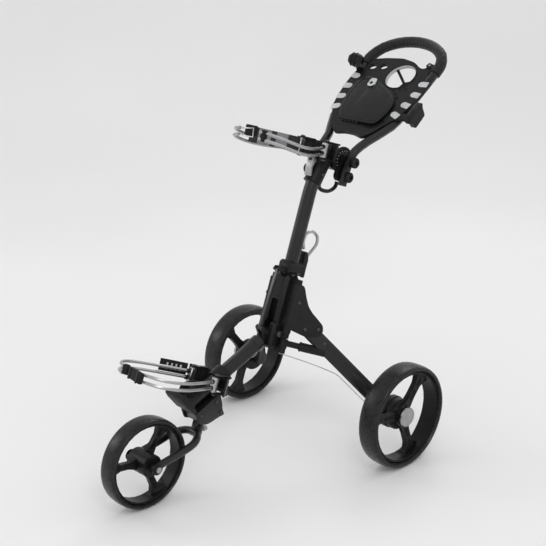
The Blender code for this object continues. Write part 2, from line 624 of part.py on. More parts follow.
# ---------------------------------------------------------------- front frame
def make_front_frame():
    """Front tube on its hinge, its bracket, bag foot and lower backrest. y runs rearwards."""
    length = 0.327
    tube_piece = tube("front_tube", FRONT, [Vector((0, -0.052, 0)), Vector((0, -length, 0))], TUBE_RADIUS,
                      5)
    socket = cylinder("front_socket", FRONT, 0.0215, (0, -0.0485, 0), (0, -0.070, 0), 18)
    tongue = block("front_tongue", FRONT, (-0.0118, -0.056, -0.0110), (0.0118, 0.0, 0.0110))
    knuckle = cylinder("front_knuckle", FRONT, 0.0112, (-0.0118, 0, 0), (0.0118, 0, 0), 18)
    forward, up = LINK_FOOT
    join(tube_piece, socket, tongue, knuckle)
    for side in (1, -1):
        inner = side * 0.0049
        outer = side * 0.0116
        lug = block("link_foot", FRONT, (inner, -forward - 0.0065, 0.008), (outer, -forward + 0.0065, up))
        lug_round = cylinder("link_foot_round", FRONT, 0.0065, (inner, -forward, up), (outer, -forward, up),
                             14)
        join(tube_piece, lug, lug_round)
    cut(tube_piece, cylinder("tongue_bore", FRONT, 0.0063, (-0.03, 0, 0), (0.03, 0, 0), 20))
    finish(tube_piece, BLACK, 0.35, 0.4)

    # Folded bracket under the tube's end: two cheeks joined by a web, with the steering head.
    cheek = round_corners(
        [(0.2385, -0.0198), (0.2440, -0.052), (0.250, -0.066), (0.250, -0.086), (0.266, -0.080),
         (0.300, -0.074),
         (0.312, -0.070), (0.332, -0.052), (0.330, -0.0198)],
        0.006, 2, True,
    )
    bracket = plate("front_bracket", FRONT, cheek, 0.062, turn=UPRIGHT)
    inside = block("bracket_inside", FRONT, (-0.0275, -0.40, -0.12), (0.0275, -0.20, -0.0240))
    up_axis = Vector((0.0, math.sin(MAST_LEAN), math.cos(MAST_LEAN)))
    head = cylinder("steering_head", CART, 0.0165, STEER_POINT + up_axis * 0.0215,
                    STEER_POINT + up_axis * 0.062, 24)
    head_web = block("head_web", FRONT, (-0.029, -0.325, -0.054), (0.029, -0.300, -0.022))
    stem_bore = cylinder("stem_bore", CART, 0.0088, STEER_POINT - up_axis * 0.02,
                         STEER_POINT + up_axis * 0.055, 20)
    cut(bracket, inside)
    join(bracket, head_web, head)
    cut(bracket, stem_bore)
    finish(bracket, BLACK, 0.40, 0.3)

    # Bag foot: a saddle on the tube's end with a lip rising at the front and a wing on each side.
    foot_outline = [(0.262, 0.0197), (0.3275, 0.0197), (0.3275, -0.0120), (0.3345, -0.0120),
                    (0.3480, 0.0330),
                    (0.3500, 0.0490), (0.3415, 0.0605), (0.3340, 0.0440), (0.3230, 0.0300),
                    (0.3000, 0.0262),
                    (0.262, 0.0262)]
    foot = plate("bag_foot", FRONT, foot_outline, 0.074, turn=UPRIGHT)
    wing_outline = [(0.264, 0.0230), (0.266, 0.0310), (0.290, 0.0460), (0.306, 0.0530), (0.318, 0.0450),
                    (0.325, 0.0330),
                    (0.3220, 0.0230)]
    for side in (1, -1):
        wing = plate(f"foot_wing_{side}", FRONT, wing_outline, 0.005, (side * 0.0160, 0, 0), UPRIGHT)
        join(foot, wing)
    finish(foot, SOFT_BLACK, 0.6)

    backrest = make_backrest("lower_backrest", LOWER)
    ring = cylinder("lower_ring", FRONT, 0.0255, (0, -0.186, 0), (0, -0.222, 0), 20)
    join(backrest, ring)
    cut(backrest, tube("lower_ring_bore", FRONT, [Vector((0, -0.1, 0)), Vector((0, -0.34, 0))],
                       TUBE_RADIUS + GAP, 5))
    finish(backrest, BLACK, 0.45)


def make_backrest(name, frame):
    """Curved band behind the bag, with top and bottom ears for the cradle arms' pins."""
    centre = (0.0, 0.026)
    outer = arc(centre, 0.084, 206, 334, 10)
    inner = arc(centre, 0.0795, 334, 206, 10)
    # Outline is (x, forwards); the frame's own y runs rearwards, so the plate is turned over.
    band = plate(name, frame, outer + inner, 0.047, (0, 0, -0.0107), (math.radians(180.0), 0, 0))
    for side in (1, -1):
        x = side * CRADLE_X
        for low, high in ((0.0100, 0.0150), (-0.0360, -0.0310)):
            ear = block("ear", frame, (x - 0.0075, -0.0005, low), (x + 0.0075, 0.046, high))
            ear_end = cylinder("ear_end", frame, 0.0075, (x, 0, low), (x, 0, high), 12)
            join(band, ear, ear_end)
        join(band, cylinder("arm_pin", frame, 0.0035, (x, 0, -0.035), (x, 0, 0.014), 10))
    return band


def make_cradle_arm(name, frame, side, dip):
    """Pivot block with two parallel bent rods, ending in a grip pad."""
    arm_frame = make_frame(name + "_pivot", (side * CRADLE_X, 0.0, 0.0), parent=frame)
    reach = ROD_ROUTE[-1][1]
    rods = []
    for row in (0, 1):
        points = []
        for x, forwards in ROD_ROUTE:
            sag = dip * math.sin(math.pi * forwards / reach)
            points.append((side * (x - CRADLE_X), -forwards, -0.0015 - row * ROD_STEP - sag))
        rods.append(tube(f"{name}_rod_{row}", arm_frame, smooth_path(points, 2), ROD_RADIUS, 2))
    arm = block(name, arm_frame, (-0.0070, -0.0120, -0.0305), (0.0070, 0.0065, 0.0095))
    bevel(arm, 0.002)
    join(arm, *rods)
    cut(arm, cylinder(name + "_bore", arm_frame, 0.0039, (0, 0, -0.05), (0, 0, 0.05), 12))
    finish(arm, SILVER, 0.3, 0.9)

    # Pad: a slab curved round the rods' ends, bored for them.
    across, forwards, up, pad_long, pad_tall = PADS[name]
    mid = Vector((side * (across - CRADLE_X), -forwards, up))
    half = Vector((pad_long, 0.014, pad_tall)) / 2
    pad = block(name.replace("arm", "pad"), arm_frame, -half, half, mid,
                (0.0, 0.0, -side * math.radians(14.0)))
    bevel(pad, 0.003)
    for row, rod in enumerate(rods):
        points = []
        for x, forwards in ROD_ROUTE[-4:]:
            sag = dip * math.sin(math.pi * forwards / reach)
            points.append((side * (x - CRADLE_X), -forwards, -0.0015 - row * ROD_STEP - sag))
        points[-1] = tuple(Vector(points[-1]) + (Vector(points[-1]) - Vector(points[-2])).normalized() * GAP)
        cut(pad, tube(f"{name}_pad_bore_{row}", arm_frame, smooth_path(points, 2), ROD_RADIUS + 0.0006, 2))
    finish(pad, SOFT_BLACK, 0.55)
    return arm_frame


def make_band(name, arm_frame, side, route, tall, middle, thick=0.003):
    """A flat band that stands inside an arm's rods."""
    path = smooth_path([(side * (x - CRADLE_X), -forwards, 0.0) for x, forwards in route], 4)
    outer = []
    inner = []
    for i, point in enumerate(path):
        before = path[max(i - 1, 0)]
        after = path[min(i + 1, len(path) - 1)]
        along = (after - before).normalized()
        across = Vector((-along.y, along.x, 0.0)) * thick / 2
        outer.append((point + across)[:2])
        inner.append((point - across)[:2])
    band = plate(name, arm_frame, outer + inner[::-1], tall, (0, 0, middle))
    return finish(band, SOFT_BLACK, 0.6)


def make_cradles():
    make_cradle_arm("lower_arm_left", LOWER, 1, 0.0)
    make_cradle_arm("upper_arm_left", UPPER, 1, 0.014)
    right_frame = make_cradle_arm("lower_arm_right", LOWER, -1, 0.0)
    strap_frame = make_cradle_arm("upper_arm_right", UPPER, -1, 0.014)
    plate_route = [(0.0560, 0.014), (0.0670, 0.038), (0.0790, 0.062), (0.0880, 0.084)]
    make_band("lower_plate", right_frame, -1, plate_route, 0.032, 0.0010)
    strap_route = [(0.038, 0.016), (0.047, 0.040), (0.066, 0.085), (0.081, 0.126), (0.0865, 0.158)]
    make_band("upper_strap", strap_frame, -1, strap_route, 0.042, -0.0110)

    backrest = make_backrest("upper_backrest", UPPER)
    head = Vector((0.0, math.sin(HEAD_LEAN), math.cos(HEAD_LEAN)))
    ring = cylinder("upper_ring", CART, 0.0290, HEAD_POINT + head * 0.0404, HEAD_POINT + head * 0.058, 18)
    clear = cylinder("upper_ring_bore", CART, 0.0250, HEAD_POINT - head * 0.08, HEAD_POINT + head * 0.0403,
                     20)
    join(backrest, ring)
    web_clear = block("web_clear", CART, (-0.0185, 0.0112, 0.010), (0.0185, 0.060, 0.060), HEAD_POINT,
                      (-HEAD_LEAN, 0, 0))
    boss_clear = cylinder("boss_clear", CART, 0.0206, CLUTCH_POINT + Vector((-0.0253, 0, 0)),
                          CLUTCH_POINT + Vector((0.0253, 0, 0)), 20)
    disc_clear = cylinder("disc_clear", CART, 0.0385, CLUTCH_POINT + Vector((-0.0480, 0, 0)),
                          CLUTCH_POINT + Vector((-0.0248, 0, 0)), 20)
    other_clear = cylinder("other_clear", CART, 0.0385, CLUTCH_POINT + Vector((0.0248, 0, 0)),
                           CLUTCH_POINT + Vector((0.0480, 0, 0)), 20)
    cut(backrest, clear, web_clear, boss_clear, disc_clear, other_clear)
    finish(backrest, BLACK, 0.45)


# ---------------------------------------------------------------- fork and front wheel
def make_fork():
    up_axis = Vector((0.0, math.sin(MAST_LEAN), math.cos(MAST_LEAN)))
    frame = make_frame("steering_frame", STEER_POINT, parent=CART)
    arm_x = 0.045
    hub = Vector((0.0, -WHEELBASE, FRONT_RADIUS)) - STEER_POINT
    side_points = [(arm_x, hub.y - 0.013, hub.z - 0.001), (arm_x, -0.085, -0.021), (arm_x, -0.046, -0.012),
                   (0.022, -0.014, -0.005)]
    points = side_points + [(-x, y, z) for x, y, z in reversed(side_points)]
    fork = tube("fork", frame, round_corners(points, 0.030, 3), 0.0105, 3)
    head = cylinder("fork_head", frame, 0.0155, -up_axis * 0.020, up_axis * 0.0210, 24)
    stem = cylinder("fork_stem", frame, 0.0085, up_axis * 0.01, up_axis * 0.0500, 20)
    join(fork, head, stem)
    cut(fork, cylinder("fork_axle_bore", frame, 0.0053, (-0.08, hub.y, hub.z), (0.08, hub.y, hub.z), 20))
    cut(fork, cylinder("knob_bore", frame, 0.0034, (0, 0.005, -0.0085), (0, 0.06, -0.0085), 14))
    finish(fork, BLACK, 0.38, 0.3)

    axle = cylinder("front_axle", frame, 0.005, (-0.0595, hub.y, hub.z), (0.0595, hub.y, hub.z), 20)
    for side in (1, -1):
        head = cylinder(f"front_axle_head_{side}", frame, 0.0085, (side * 0.0562, hub.y, hub.z),
                        (side * 0.0615, hub.y, hub.z), 6)
        join(axle, head)
    finish(axle, SILVER, 0.35, 1.0)

    knob_frame = make_frame("tracking_knob_axis", (0.0, 0.0185, -0.0085), parent=frame)
    knob = cylinder("tracking_knob", knob_frame, 0.0075, (0, 0, 0), (0, 0.012, 0), 12)
    bevel(knob, 0.001)
    join(knob, cylinder("knob_screw", knob_frame, 0.0030, (0, -0.011, 0), (0, 0.003, 0), 14))
    finish(knob, SILVER, 0.3, 0.9)

    wheel_frame = make_frame("wheel_axis_front", hub, parent=frame)
    make_wheel("front", wheel_frame, 1, FRONT_RADIUS, FRONT_WIDTH, 0.030, 0.0325, 0.0053,
               math.radians(39.0))


# ---------------------------------------------------------------- handle and console
def hoop_points():
    """Left half of the handle hoop, from its lower end to the top of the grip, in cart places."""
    lower = [(0.058, 0.0190, 0.7340), (0.058, 0.0320, 0.7680), (0.058, 0.0465, 0.7950),
             (0.061, 0.0640, 0.8210),
             (0.072, 0.1040, 0.8450)]
    plane = [(0.106, -0.148, -0.013), (0.111, -0.102, -0.0145), (0.112, -0.055, -0.0135),
             (0.116, -0.005, -0.011),
             (0.125, 0.038, -0.003), (0.1275, 0.062, 0.000), (0.1250, 0.086, 0.001), (0.106, 0.119, 0.002),
             (0.067, 0.144, 0.003), (0.022, 0.1555, 0.003)]
    slope = Vector((0.0, math.cos(CONSOLE_TILT), math.sin(CONSOLE_TILT)))
    outward = Vector((0.0, -math.sin(CONSOLE_TILT), math.cos(CONSOLE_TILT)))
    points = [Vector(point) for point in lower]
    for x, up, out in plane:
        points.append(Vector((x, 0.0, 0.0)) + CONSOLE_POINT + slope * up + outward * out)
    return points


def full_hoop(points):
    return points + [Vector((-point.x, point.y, point.z)) for point in reversed(points)]


def make_handle():
    frame = make_frame("handle_fold_axis", CLUTCH_POINT, parent=CART)
    path = smooth_path([point - CLUTCH_POINT for point in full_hoop(hoop_points())], 2)
    handle = tube("handle_tube", frame, path, HANDLE_RADIUS, 2)
    arm_bolt = ARM_BOLT - CLUTCH_POINT
    cut(handle, cylinder("clutch_bolt_bore", frame, 0.0053, (-0.09, 0, 0), (0.09, 0, 0), 18))
    cut(handle, cylinder("arm_bolt_bore", frame, 0.0053, (-0.09, *arm_bolt.yz), (0.09, *arm_bolt.yz), 18))
    finish(handle, BLACK, 0.38, 0.3)

    grip_path = path[GRIP_START:-GRIP_START]
    grip = tube("handle_grip", frame, grip_path, GRIP_RADIUS, 3)
    cut(grip, tube("grip_bore", frame, path, HANDLE_RADIUS + GAP, 2))
    finish(grip, SOFT_BLACK, 0.7)

    # Toothed disc and arm bracket on each side, in one piece.
    slant = math.degrees(math.atan2(arm_bolt.z, arm_bolt.y))
    outline = arc((0, 0), 0.0145, slant + 90, slant + 270, 6) + arc(arm_bolt.yz, 0.0160, slant - 90,
                                                                    slant + 90, 6)
    for side, word in ((1, "left"), (-1, "right")):
        disc = cylinder("clutch_disc_" + word, frame, 0.0365, (side * 0.0252, 0, 0), (side * 0.0350, 0, 0),
                        24)
        bevel(disc, 0.0015)
        bracket = plate("arm_bracket_" + word, frame, outline, 0.0115, (side * 0.0397, 0, 0),
                        (math.radians(90.0), 0.0, math.radians(90.0)))
        join(disc, bracket)
        cut(disc, cylinder("disc_bore_" + word, frame, 0.0053, (-0.09, 0, 0), (0.09, 0, 0), 18))
        cut(disc, cylinder("bracket_bore_" + word, frame, 0.0053, (-0.09, *arm_bolt.yz),
                           (0.09, *arm_bolt.yz), 18))
        finish(disc, BLACK, 0.5)

    # One bolt right through the clutch, and a short one through each arm below it.
    for name, inner, sides, (y, z) in (
        ("clutch_bolt", -0.0735, (1, -1), (0.0, 0.0)),
        ("arm_bolt_left", 0.0360, (1,), arm_bolt.yz),
        ("arm_bolt_right", 0.0360, (-1,), arm_bolt.yz),
    ):
        bolt = cylinder(name, frame, 0.005, (sides[0] * inner, y, z), (sides[0] * 0.0735, y, z), 16)
        for side in sides:
            head = cylinder(f"{name}_head_{side}", frame, 0.0095, (side * 0.0706, y, z),
                            (side * 0.079, y, z), 14)
            join(bolt, head)
        finish(bolt, BLACK, 0.4, 0.6)

    console_frame = make_frame("console_plane", CONSOLE_POINT - CLUTCH_POINT, (CONSOLE_TILT, 0, 0), frame)
    make_console(console_frame, frame, path)


def make_console(plane, frame, path):
    """Tray, lid, latch, umbrella holder and brake lever. plane: x across, y up the tray, z out."""
    thick = TRAY_TOP - TRAY_BOTTOM
    tray = plate("console_tray", plane, round_corners(TRAY_OUTLINE, 0.010, 2, True), thick,
                 (0, 0, TRAY_TOP - thick / 2))
    tub = plate("tray_tub", plane, round_corners(LID_OUTLINE, 0.012, 1, True), 0.030,
                (0, 0, TRAY_BOTTOM - 0.013))
    lug = block("brake_lug", plane, (0.115, BRAKE_PIN[0] - 0.010, -0.0055),
                (0.1470, BRAKE_PIN[0] + 0.010, 0.0035))
    join(tray, tub, lug)
    cup = cylinder("cup_hole", plane, CUP_RADIUS, (*CUP_PLACE, -0.03), (*CUP_PLACE, 0.06), 28)
    cut(tray, cup)
    for x, y in ((-0.089, 0.041), (-0.052, 0.047)):
        slot = plate("oval_hole", plane, arc((0, 0), 1.0, 0, 337.5, 15), 0.08, (x, y, 0.0))
        slot.data.transform(Matrix.Diagonal((0.0145, 0.0105, 1.0, 1.0)))
        cut(tray, slot)
    recess = plate("lid_recess", plane, round_corners(LID_INSIDE, 0.010, 1, True), 0.050,
                   (0, 0, TRAY_BOTTOM))
    cut(tray, recess)
    cut(tray, tube("tray_hoop_bore", frame, path, HANDLE_RADIUS + GAP, 2))
    cut(tray, tube("tray_grip_bore", frame, path[GRIP_START - 1:-GRIP_START + 1], GRIP_RADIUS + 0.0012, 3))
    cut(tray, cylinder("brake_pin_bore", plane, 0.0033, (0.134, *BRAKE_PIN), (0.160, *BRAKE_PIN), 14))
    finish(tray, BLACK, 0.5)

    lid_frame = make_frame("lid_hinge", (0.0, LID_HINGE_Y, TRAY_TOP + GAP), parent=plane)
    lid_outline = [(x, y - LID_HINGE_Y) for x, y in LID_OUTLINE]
    lid = plate("console_lid", lid_frame, round_corners(lid_outline, 0.014, 2, True), 0.0065,
                (0, 0, 0.00325))
    latch_x, latch_y = LATCH_PLACE
    pocket = cylinder("latch_pocket", lid_frame, 0.0130, (latch_x, latch_y - LID_HINGE_Y, 0.0030),
                      (latch_x, latch_y - LID_HINGE_Y, 0.02), 24)
    cut(lid, pocket)
    finish(lid, BLACK, 0.4)

    latch_frame = make_frame("lid_latch_axis", (latch_x, latch_y - LID_HINGE_Y, 0.0033), parent=lid_frame)
    latch = cylinder("lid_latch", latch_frame, 0.0125, (0, 0, 0), (0, 0, 0.0060), 24)
    bevel(latch, 0.0015)
    cut(latch, block("latch_mark", latch_frame, (-0.003, -0.009, 0.0035), (0.003, 0.003, 0.01)))
    finish(latch, LIGHT_GREY, 0.5)

    # Umbrella holder: a ball with a socket, clamped on the hoop beside the tray.
    ball = (-0.1475, 0.045, 0.016)
    holder = turned(
        "umbrella_mount", plane,
        [(0.0, 0.0260), (0.0110, 0.0240), (0.0185, 0.0150), (0.0205, 0.0030), (0.0180, -0.0100),
         (0.0110, -0.0185),
         (0.0, -0.0210)],
        False, 20, ball, (math.radians(12.0), math.radians(-68.0), 0.0),
    )
    stalk = cylinder("umbrella_stalk", plane, 0.010, ball, (-0.116, 0.016, 0.012), 14)
    socket = cylinder("umbrella_hole", holder, 0.0075, (0, 0, -0.002), (0, 0, 0.05), 16)
    seat = block("umbrella_seat", plane, (-0.1400, -0.050, -0.050), (-0.050, 0.150, TRAY_TOP + GAP))
    clamp = tube("umbrella_clamp", frame, path, GRIP_RADIUS + 0.0015, 3)
    join(holder, stalk)
    cut(holder, socket, seat, clamp)
    finish(holder, BLACK, 0.4)

    brake_frame = make_frame("brake_lever_axis", (0.1560, *BRAKE_PIN), parent=plane)
    # Outline is (up the tray, out of its plane).
    paddle = round_corners(
        [(0.058, 0.007), (0.050, -0.005), (0.046, -0.030), (-0.003, -0.033), (-0.0035, -0.013),
         (-0.013, -0.009),
         (-0.013, 0.005), (0.018, 0.010)],
        0.005, 2, True,
    )
    lever = plate("brake_lever", brake_frame, paddle, 0.016,
                  turn=(math.radians(90.0), 0, math.radians(90.0)))
    bevel(lever, 0.002)
    join(lever, cylinder("brake_pin", brake_frame, 0.0030, (-0.0190, 0, 0), (0.004, 0, 0), 14))
    finish(lever, BLACK, 0.45)


def make_cam_lever():
    frame = make_frame("cam_pin_axis", CAM_POINT, parent=CART)
    # Outline is (forwards, up).
    outline = round_corners(
        [(-0.0065, 0.006), (0.006, 0.009), (0.0145, -0.012), (0.0205, -0.040), (0.0150, -0.041),
         (0.0085, -0.014),
         (-0.004, -0.007)],
        0.004, 2, True,
    )
    lever = plate("cam_lever", frame, outline, 0.022, turn=UPRIGHT)
    bevel(lever, 0.0012)
    cut(lever, block("cam_slot", frame, (-0.0043, -0.0095, -0.020), (0.0043, 0.03, 0.02)))
    join(lever, cylinder("cam_pin", frame, 0.0025, (-0.010, 0, 0), (0.010, 0, 0), 14))
    finish(lever, SILVER, 0.3, 0.9)


# ---------------------------------------------------------------- assembly
clear_scene()
PARTS = make_collection("golf_push_cart")
CUTTERS = make_collection("cutters")
CART = make_frame("rear_axle_line", (0.0, AXLE_Y, 0.0))
MAST = make_frame("mast_frame", MAST_FOOT, (-MAST_LEAN, 0, 0), CART)
FRONT = make_frame("front_fold_axis", FRONT_HINGE, (FRONT_SLOPE, 0, 0), CART)
LOWER = make_frame("lower_cradle", LOWER_PIVOT, (-LOWER_TILT, 0, 0), CART)
UPPER = make_frame("upper_cradle", UPPER_PIVOT, (-UPPER_TILT, 0, 0), CART)
bpy.context.view_layer.update()

for wheel_side, wheel_word in ((1, "left"), (-1, "right")):
    make_rear_wheel(wheel_side, wheel_word)
    make_leg(wheel_side, wheel_word)
make_mast()
make_lock()
make_front_frame()
make_cradles()
make_fork()
make_handle()
make_cam_lever()
bpy.context.view_layer.update()
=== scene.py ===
"""Three-wheel folding golf push cart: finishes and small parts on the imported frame."""

import json
import math

import bmesh
import bpy
from mathutils import Matrix, Vector


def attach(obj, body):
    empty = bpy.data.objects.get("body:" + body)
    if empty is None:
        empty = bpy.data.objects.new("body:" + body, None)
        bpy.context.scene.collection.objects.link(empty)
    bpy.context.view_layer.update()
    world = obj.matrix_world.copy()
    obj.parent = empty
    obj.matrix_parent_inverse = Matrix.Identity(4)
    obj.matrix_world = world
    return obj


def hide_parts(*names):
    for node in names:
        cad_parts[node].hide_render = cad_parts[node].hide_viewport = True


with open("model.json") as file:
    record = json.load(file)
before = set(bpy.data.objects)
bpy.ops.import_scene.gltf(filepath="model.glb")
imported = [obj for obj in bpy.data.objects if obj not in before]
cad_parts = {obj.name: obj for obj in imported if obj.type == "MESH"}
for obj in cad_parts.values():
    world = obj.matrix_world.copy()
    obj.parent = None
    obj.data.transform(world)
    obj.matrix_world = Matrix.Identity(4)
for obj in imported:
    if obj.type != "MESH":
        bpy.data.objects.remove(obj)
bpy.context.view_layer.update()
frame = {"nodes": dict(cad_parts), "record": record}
NODES = frame["nodes"]

# ---------------------------------------------------------------- the cart's own frames
AXLE_Y = 0.1750
SPLAY = math.radians(48.56)       # leg, swung out from the side of the mast
LEG_DROP = math.radians(31.46)    # leg, falling towards its wheel
REAR_RADIUS = 0.145
FRONT_RADIUS = 0.121
HALF_TRACK = 0.3105
SCREW_GRIP = 0.0135               # half thickness of the leg gusset
SIDES = ((1, "left"), (-1, "right"))


def place(x, y, z, *turns):
    """A frame at a point given from the rear axle line, turned about the axes named in turns."""
    matrix = Matrix.Translation((x, y + AXLE_Y, z))
    for axis, degrees in turns:
        matrix = matrix @ Matrix.Rotation(math.radians(degrees), 4, axis)
    return matrix


MAST = place(0, -0.1876, 0.330, ("X", -20.0))
FRONT = place(0, -0.1927, 0.3548, ("X", 22.0))
CONSOLE = place(0, 0.2715, 0.980, ("X", 36.3))
UPPER = place(0, -0.031, 0.848, ("X", -18.0))
LOWER = place(0, -0.433, 0.295, ("X", -21.0))
HEAD = place(0, -0.012, 0.777, ("X", -36.0))
STEERING = place(0, -0.4625, 0.155, ("X", -20.0))
CLUTCH = place(0, 0.049, 0.795)
FRONT_WHEEL = place(0, -0.641, FRONT_RADIUS)


def rear_wheel(side):
    return place(side * HALF_TRACK, 0, REAR_RADIUS)


def leg_gate(side):
    """Frame of one folding leg: x out along the leg, z up its hinge line."""
    turn = SPLAY if side > 0 else math.pi - SPLAY
    return MAST @ Matrix.Translation((side * 0.044, 0, 0)) @ Matrix.Rotation(turn, 4, "Z")


def leg_beam(side):
    return leg_gate(side) @ Matrix.Translation((0.088, 0, 0.032)) @ Matrix.Rotation(LEG_DROP, 4, "Y")


def facing(axis, outward=1):
    """Turns a form that stands on +Z so that it stands on that axis instead."""
    target = {"X": Vector((1, 0, 0)), "Y": Vector((0, 1, 0)), "Z": Vector((0, 0, 1))}[axis] * outward
    return target.to_track_quat("Z", "Y").to_matrix().to_4x4()


# ---------------------------------------------------------------- shader expressions
class Value:
    """A shader socket that takes part in Python arithmetic."""

    def __init__(self, finish, socket):
        self.finish = finish
        self.socket = socket

    def calc(self, operation, *others):
        return self.finish.node("ShaderNodeMath", {"operation": operation}, self, *others)

    def __add__(self, other):
        return self.calc("ADD", other)

    def __sub__(self, other):
        return self.calc("SUBTRACT", other)

    def __mul__(self, other):
        return self.calc("MULTIPLY", other)

    def __truediv__(self, other):
        return self.calc("DIVIDE", other)

    def __rsub__(self, other):
        return self.finish.node("ShaderNodeMath", {"operation": "SUBTRACT"}, other, self)

    def __rtruediv__(self, other):
        return self.finish.node("ShaderNodeMath", {"operation": "DIVIDE"}, other, self)

    def __gt__(self, other):
        return self.calc("GREATER_THAN", other)

    def __lt__(self, other):
        return self.calc("LESS_THAN", other)

    __radd__ = __add__
    __rmul__ = __mul__

    def sine(self):
        return self.calc("SINE")

    def size(self):
        return self.calc("ABSOLUTE")


class Finish:
    """One material, with its Principled shader and the cart's own coordinates."""

    def __init__(self, name, **constants):
        self.material = bpy.data.materials.new(name)
        self.material.use_nodes = True
        self.tree = self.material.node_tree
        self.shader = self.tree.nodes["Principled BSDF"]
        for socket, value in constants.items():
            self.shader.inputs[socket.replace("_", " ")].default_value = value

    def node(self, kind, settings=None, *values, out=0, **named):
        made = self.tree.nodes.new(kind)
        for key, value in (settings or {}).items():
            if key == "stops":
                for stop, (position, colour) in zip(made.color_ramp.elements, value):
                    stop.position = position
                    stop.color = (*colour, 1.0)
            else:
                setattr(made, key, value)
        for key, value in list(enumerate(values)) + [(k.replace("_", " "), v) for k, v in named.items()]:
            if isinstance(value, Value):
                self.tree.links.new(value.socket, made.inputs[key])
            else:
                made.inputs[key].default_value = value
        return Value(self, made.outputs[out])

    def coordinates(self):
        return self.node("ShaderNodeTexCoord", out="Object")

    def placed(self, matrix=None, scale=(1.0, 1.0, 1.0)):
        """Object coordinates read in one of the cart's frames."""
        where = self.coordinates()
        if matrix is None:
            return self.node("ShaderNodeMapping", {}, where, Scale=scale)
        back = matrix.inverted()
        return self.node(
            "ShaderNodeMapping", {}, where,
            Location=back.to_translation(), Rotation=back.to_euler(), Scale=scale,
        )

    def split(self, vector):
        made = self.node("ShaderNodeSeparateXYZ", {}, vector)
        outputs = made.socket.node.outputs
        return [Value(self, outputs[i]) for i in range(3)]

    def noise(self, scale, detail=3.0, where=None, roughness=0.5):
        where = where or self.coordinates()
        return self.node("ShaderNodeTexNoise", {}, Vector=where, Scale=scale, Detail=detail,
                         Roughness=roughness)

    def clamp(self, value, low, high, start=0.0, end=1.0):
        return self.node("ShaderNodeMapRange", {}, value, low, high, start, end)

    def mix(self, factor, first, second):
        made = self.node("ShaderNodeMix", {"data_type": "RGBA"}, factor)
        mixer = made.socket.node
        for socket, value in ((mixer.inputs[6], first), (mixer.inputs[7], second)):
            if isinstance(value, Value):
                self.tree.links.new(value.socket, socket)
            else:
                socket.default_value = (*value, 1.0)
        return Value(self, mixer.outputs[2])

    def bump(self, height, distance, strength=1.0, below=None):
        named = {"Height": height, "Distance": distance, "Strength": strength}
        if below is not None:
            named["Normal"] = below
        return self.node("ShaderNodeBump", {}, **named)

    def feed(self, **sockets):
        for name, value in sockets.items():
            self.tree.links.new(value.socket, self.shader.inputs[name.replace("_", " ")])
        return self.material


def moulded(name, colour, roughness, grain=1400.0, depth=0.00012, coat=0.0):
    """Moulded plastic: fine spark texture, faint flow marks and handling shine."""
    finish = Finish(name, Coat_Weight=coat, Coat_Roughness=0.25, Specular_IOR_Level=0.20)
    clouds = finish.noise(18.0, 4.0)
    grains = finish.noise(grain, 2.0)
    scuffs = finish.noise(160.0, 5.0, finish.placed(scale=(1.0, 1.0, 0.25)))
    light = tuple(min(1.0, c * 1.75 + 0.004) for c in colour)
    worn = finish.clamp(scuffs, 0.58, 0.80, 0.0, 0.55)
    tone = finish.mix(finish.clamp(clouds, 0.35, 0.72, 0.0, 0.6) + worn * 0.5, colour, light)
    rough = finish.clamp(clouds, 0.3, 0.7, roughness - 0.05, roughness + 0.07) - worn * 0.08
    below = finish.bump(scuffs, 0.00008, 0.3)
    return finish.feed(Base_Color=tone, Roughness=rough, Normal=finish.bump(grains, depth, 0.55, below))


def powder_coat(name, colour, roughness):
    """Satin paint on aluminium tube, with orange peel and a few rubbed spots."""
    finish = Finish(name, Coat_Weight=0.25, Coat_Roughness=0.22, Specular_IOR_Level=0.26)
    peel = finish.noise(520.0, 2.0)
    clouds = finish.noise(9.0, 3.0)
    rubs = finish.noise(75.0, 6.0, finish.placed(scale=(1.0, 1.0, 0.2)), 0.6)
    mark = finish.clamp(rubs, 0.66, 0.74, 0.0, 0.35)
    lifted = tuple(c * 2.0 + 0.01 for c in colour)
    tone = finish.mix(mark + finish.clamp(clouds, 0.4, 0.7, 0.0, 0.25), colour, lifted)
    rough = finish.clamp(peel, 0.3, 0.7, roughness - 0.04, roughness + 0.05) + mark * 0.2
    return finish.feed(Base_Color=tone, Roughness=rough, Normal=finish.bump(peel, 0.00010, 0.4))


def bright_metal(name, colour, roughness, pull=(1.0, 1.0, 1.0)):
    """Plated steel: drawing lines along the pull direction and dull fingermarks."""
    finish = Finish(name, Metallic=1.0)
    lines = finish.noise(900.0, 2.0, finish.placed(scale=pull))
    marks = finish.noise(40.0, 4.0)
    dull = finish.clamp(marks, 0.5, 0.75, 0.0, 1.0)
    tone = finish.mix(finish.clamp(lines, 0.3, 0.7, 0.0, 0.6) * 0.7 + dull * 0.3, colour,
                      tuple(c * 0.72 for c in colour))
    rough = finish.clamp(lines, 0.3, 0.7, roughness - 0.05, roughness + 0.08) + dull * 0.10
    return finish.feed(Base_Color=tone, Roughness=rough, Normal=finish.bump(lines, 0.00004, 0.4))


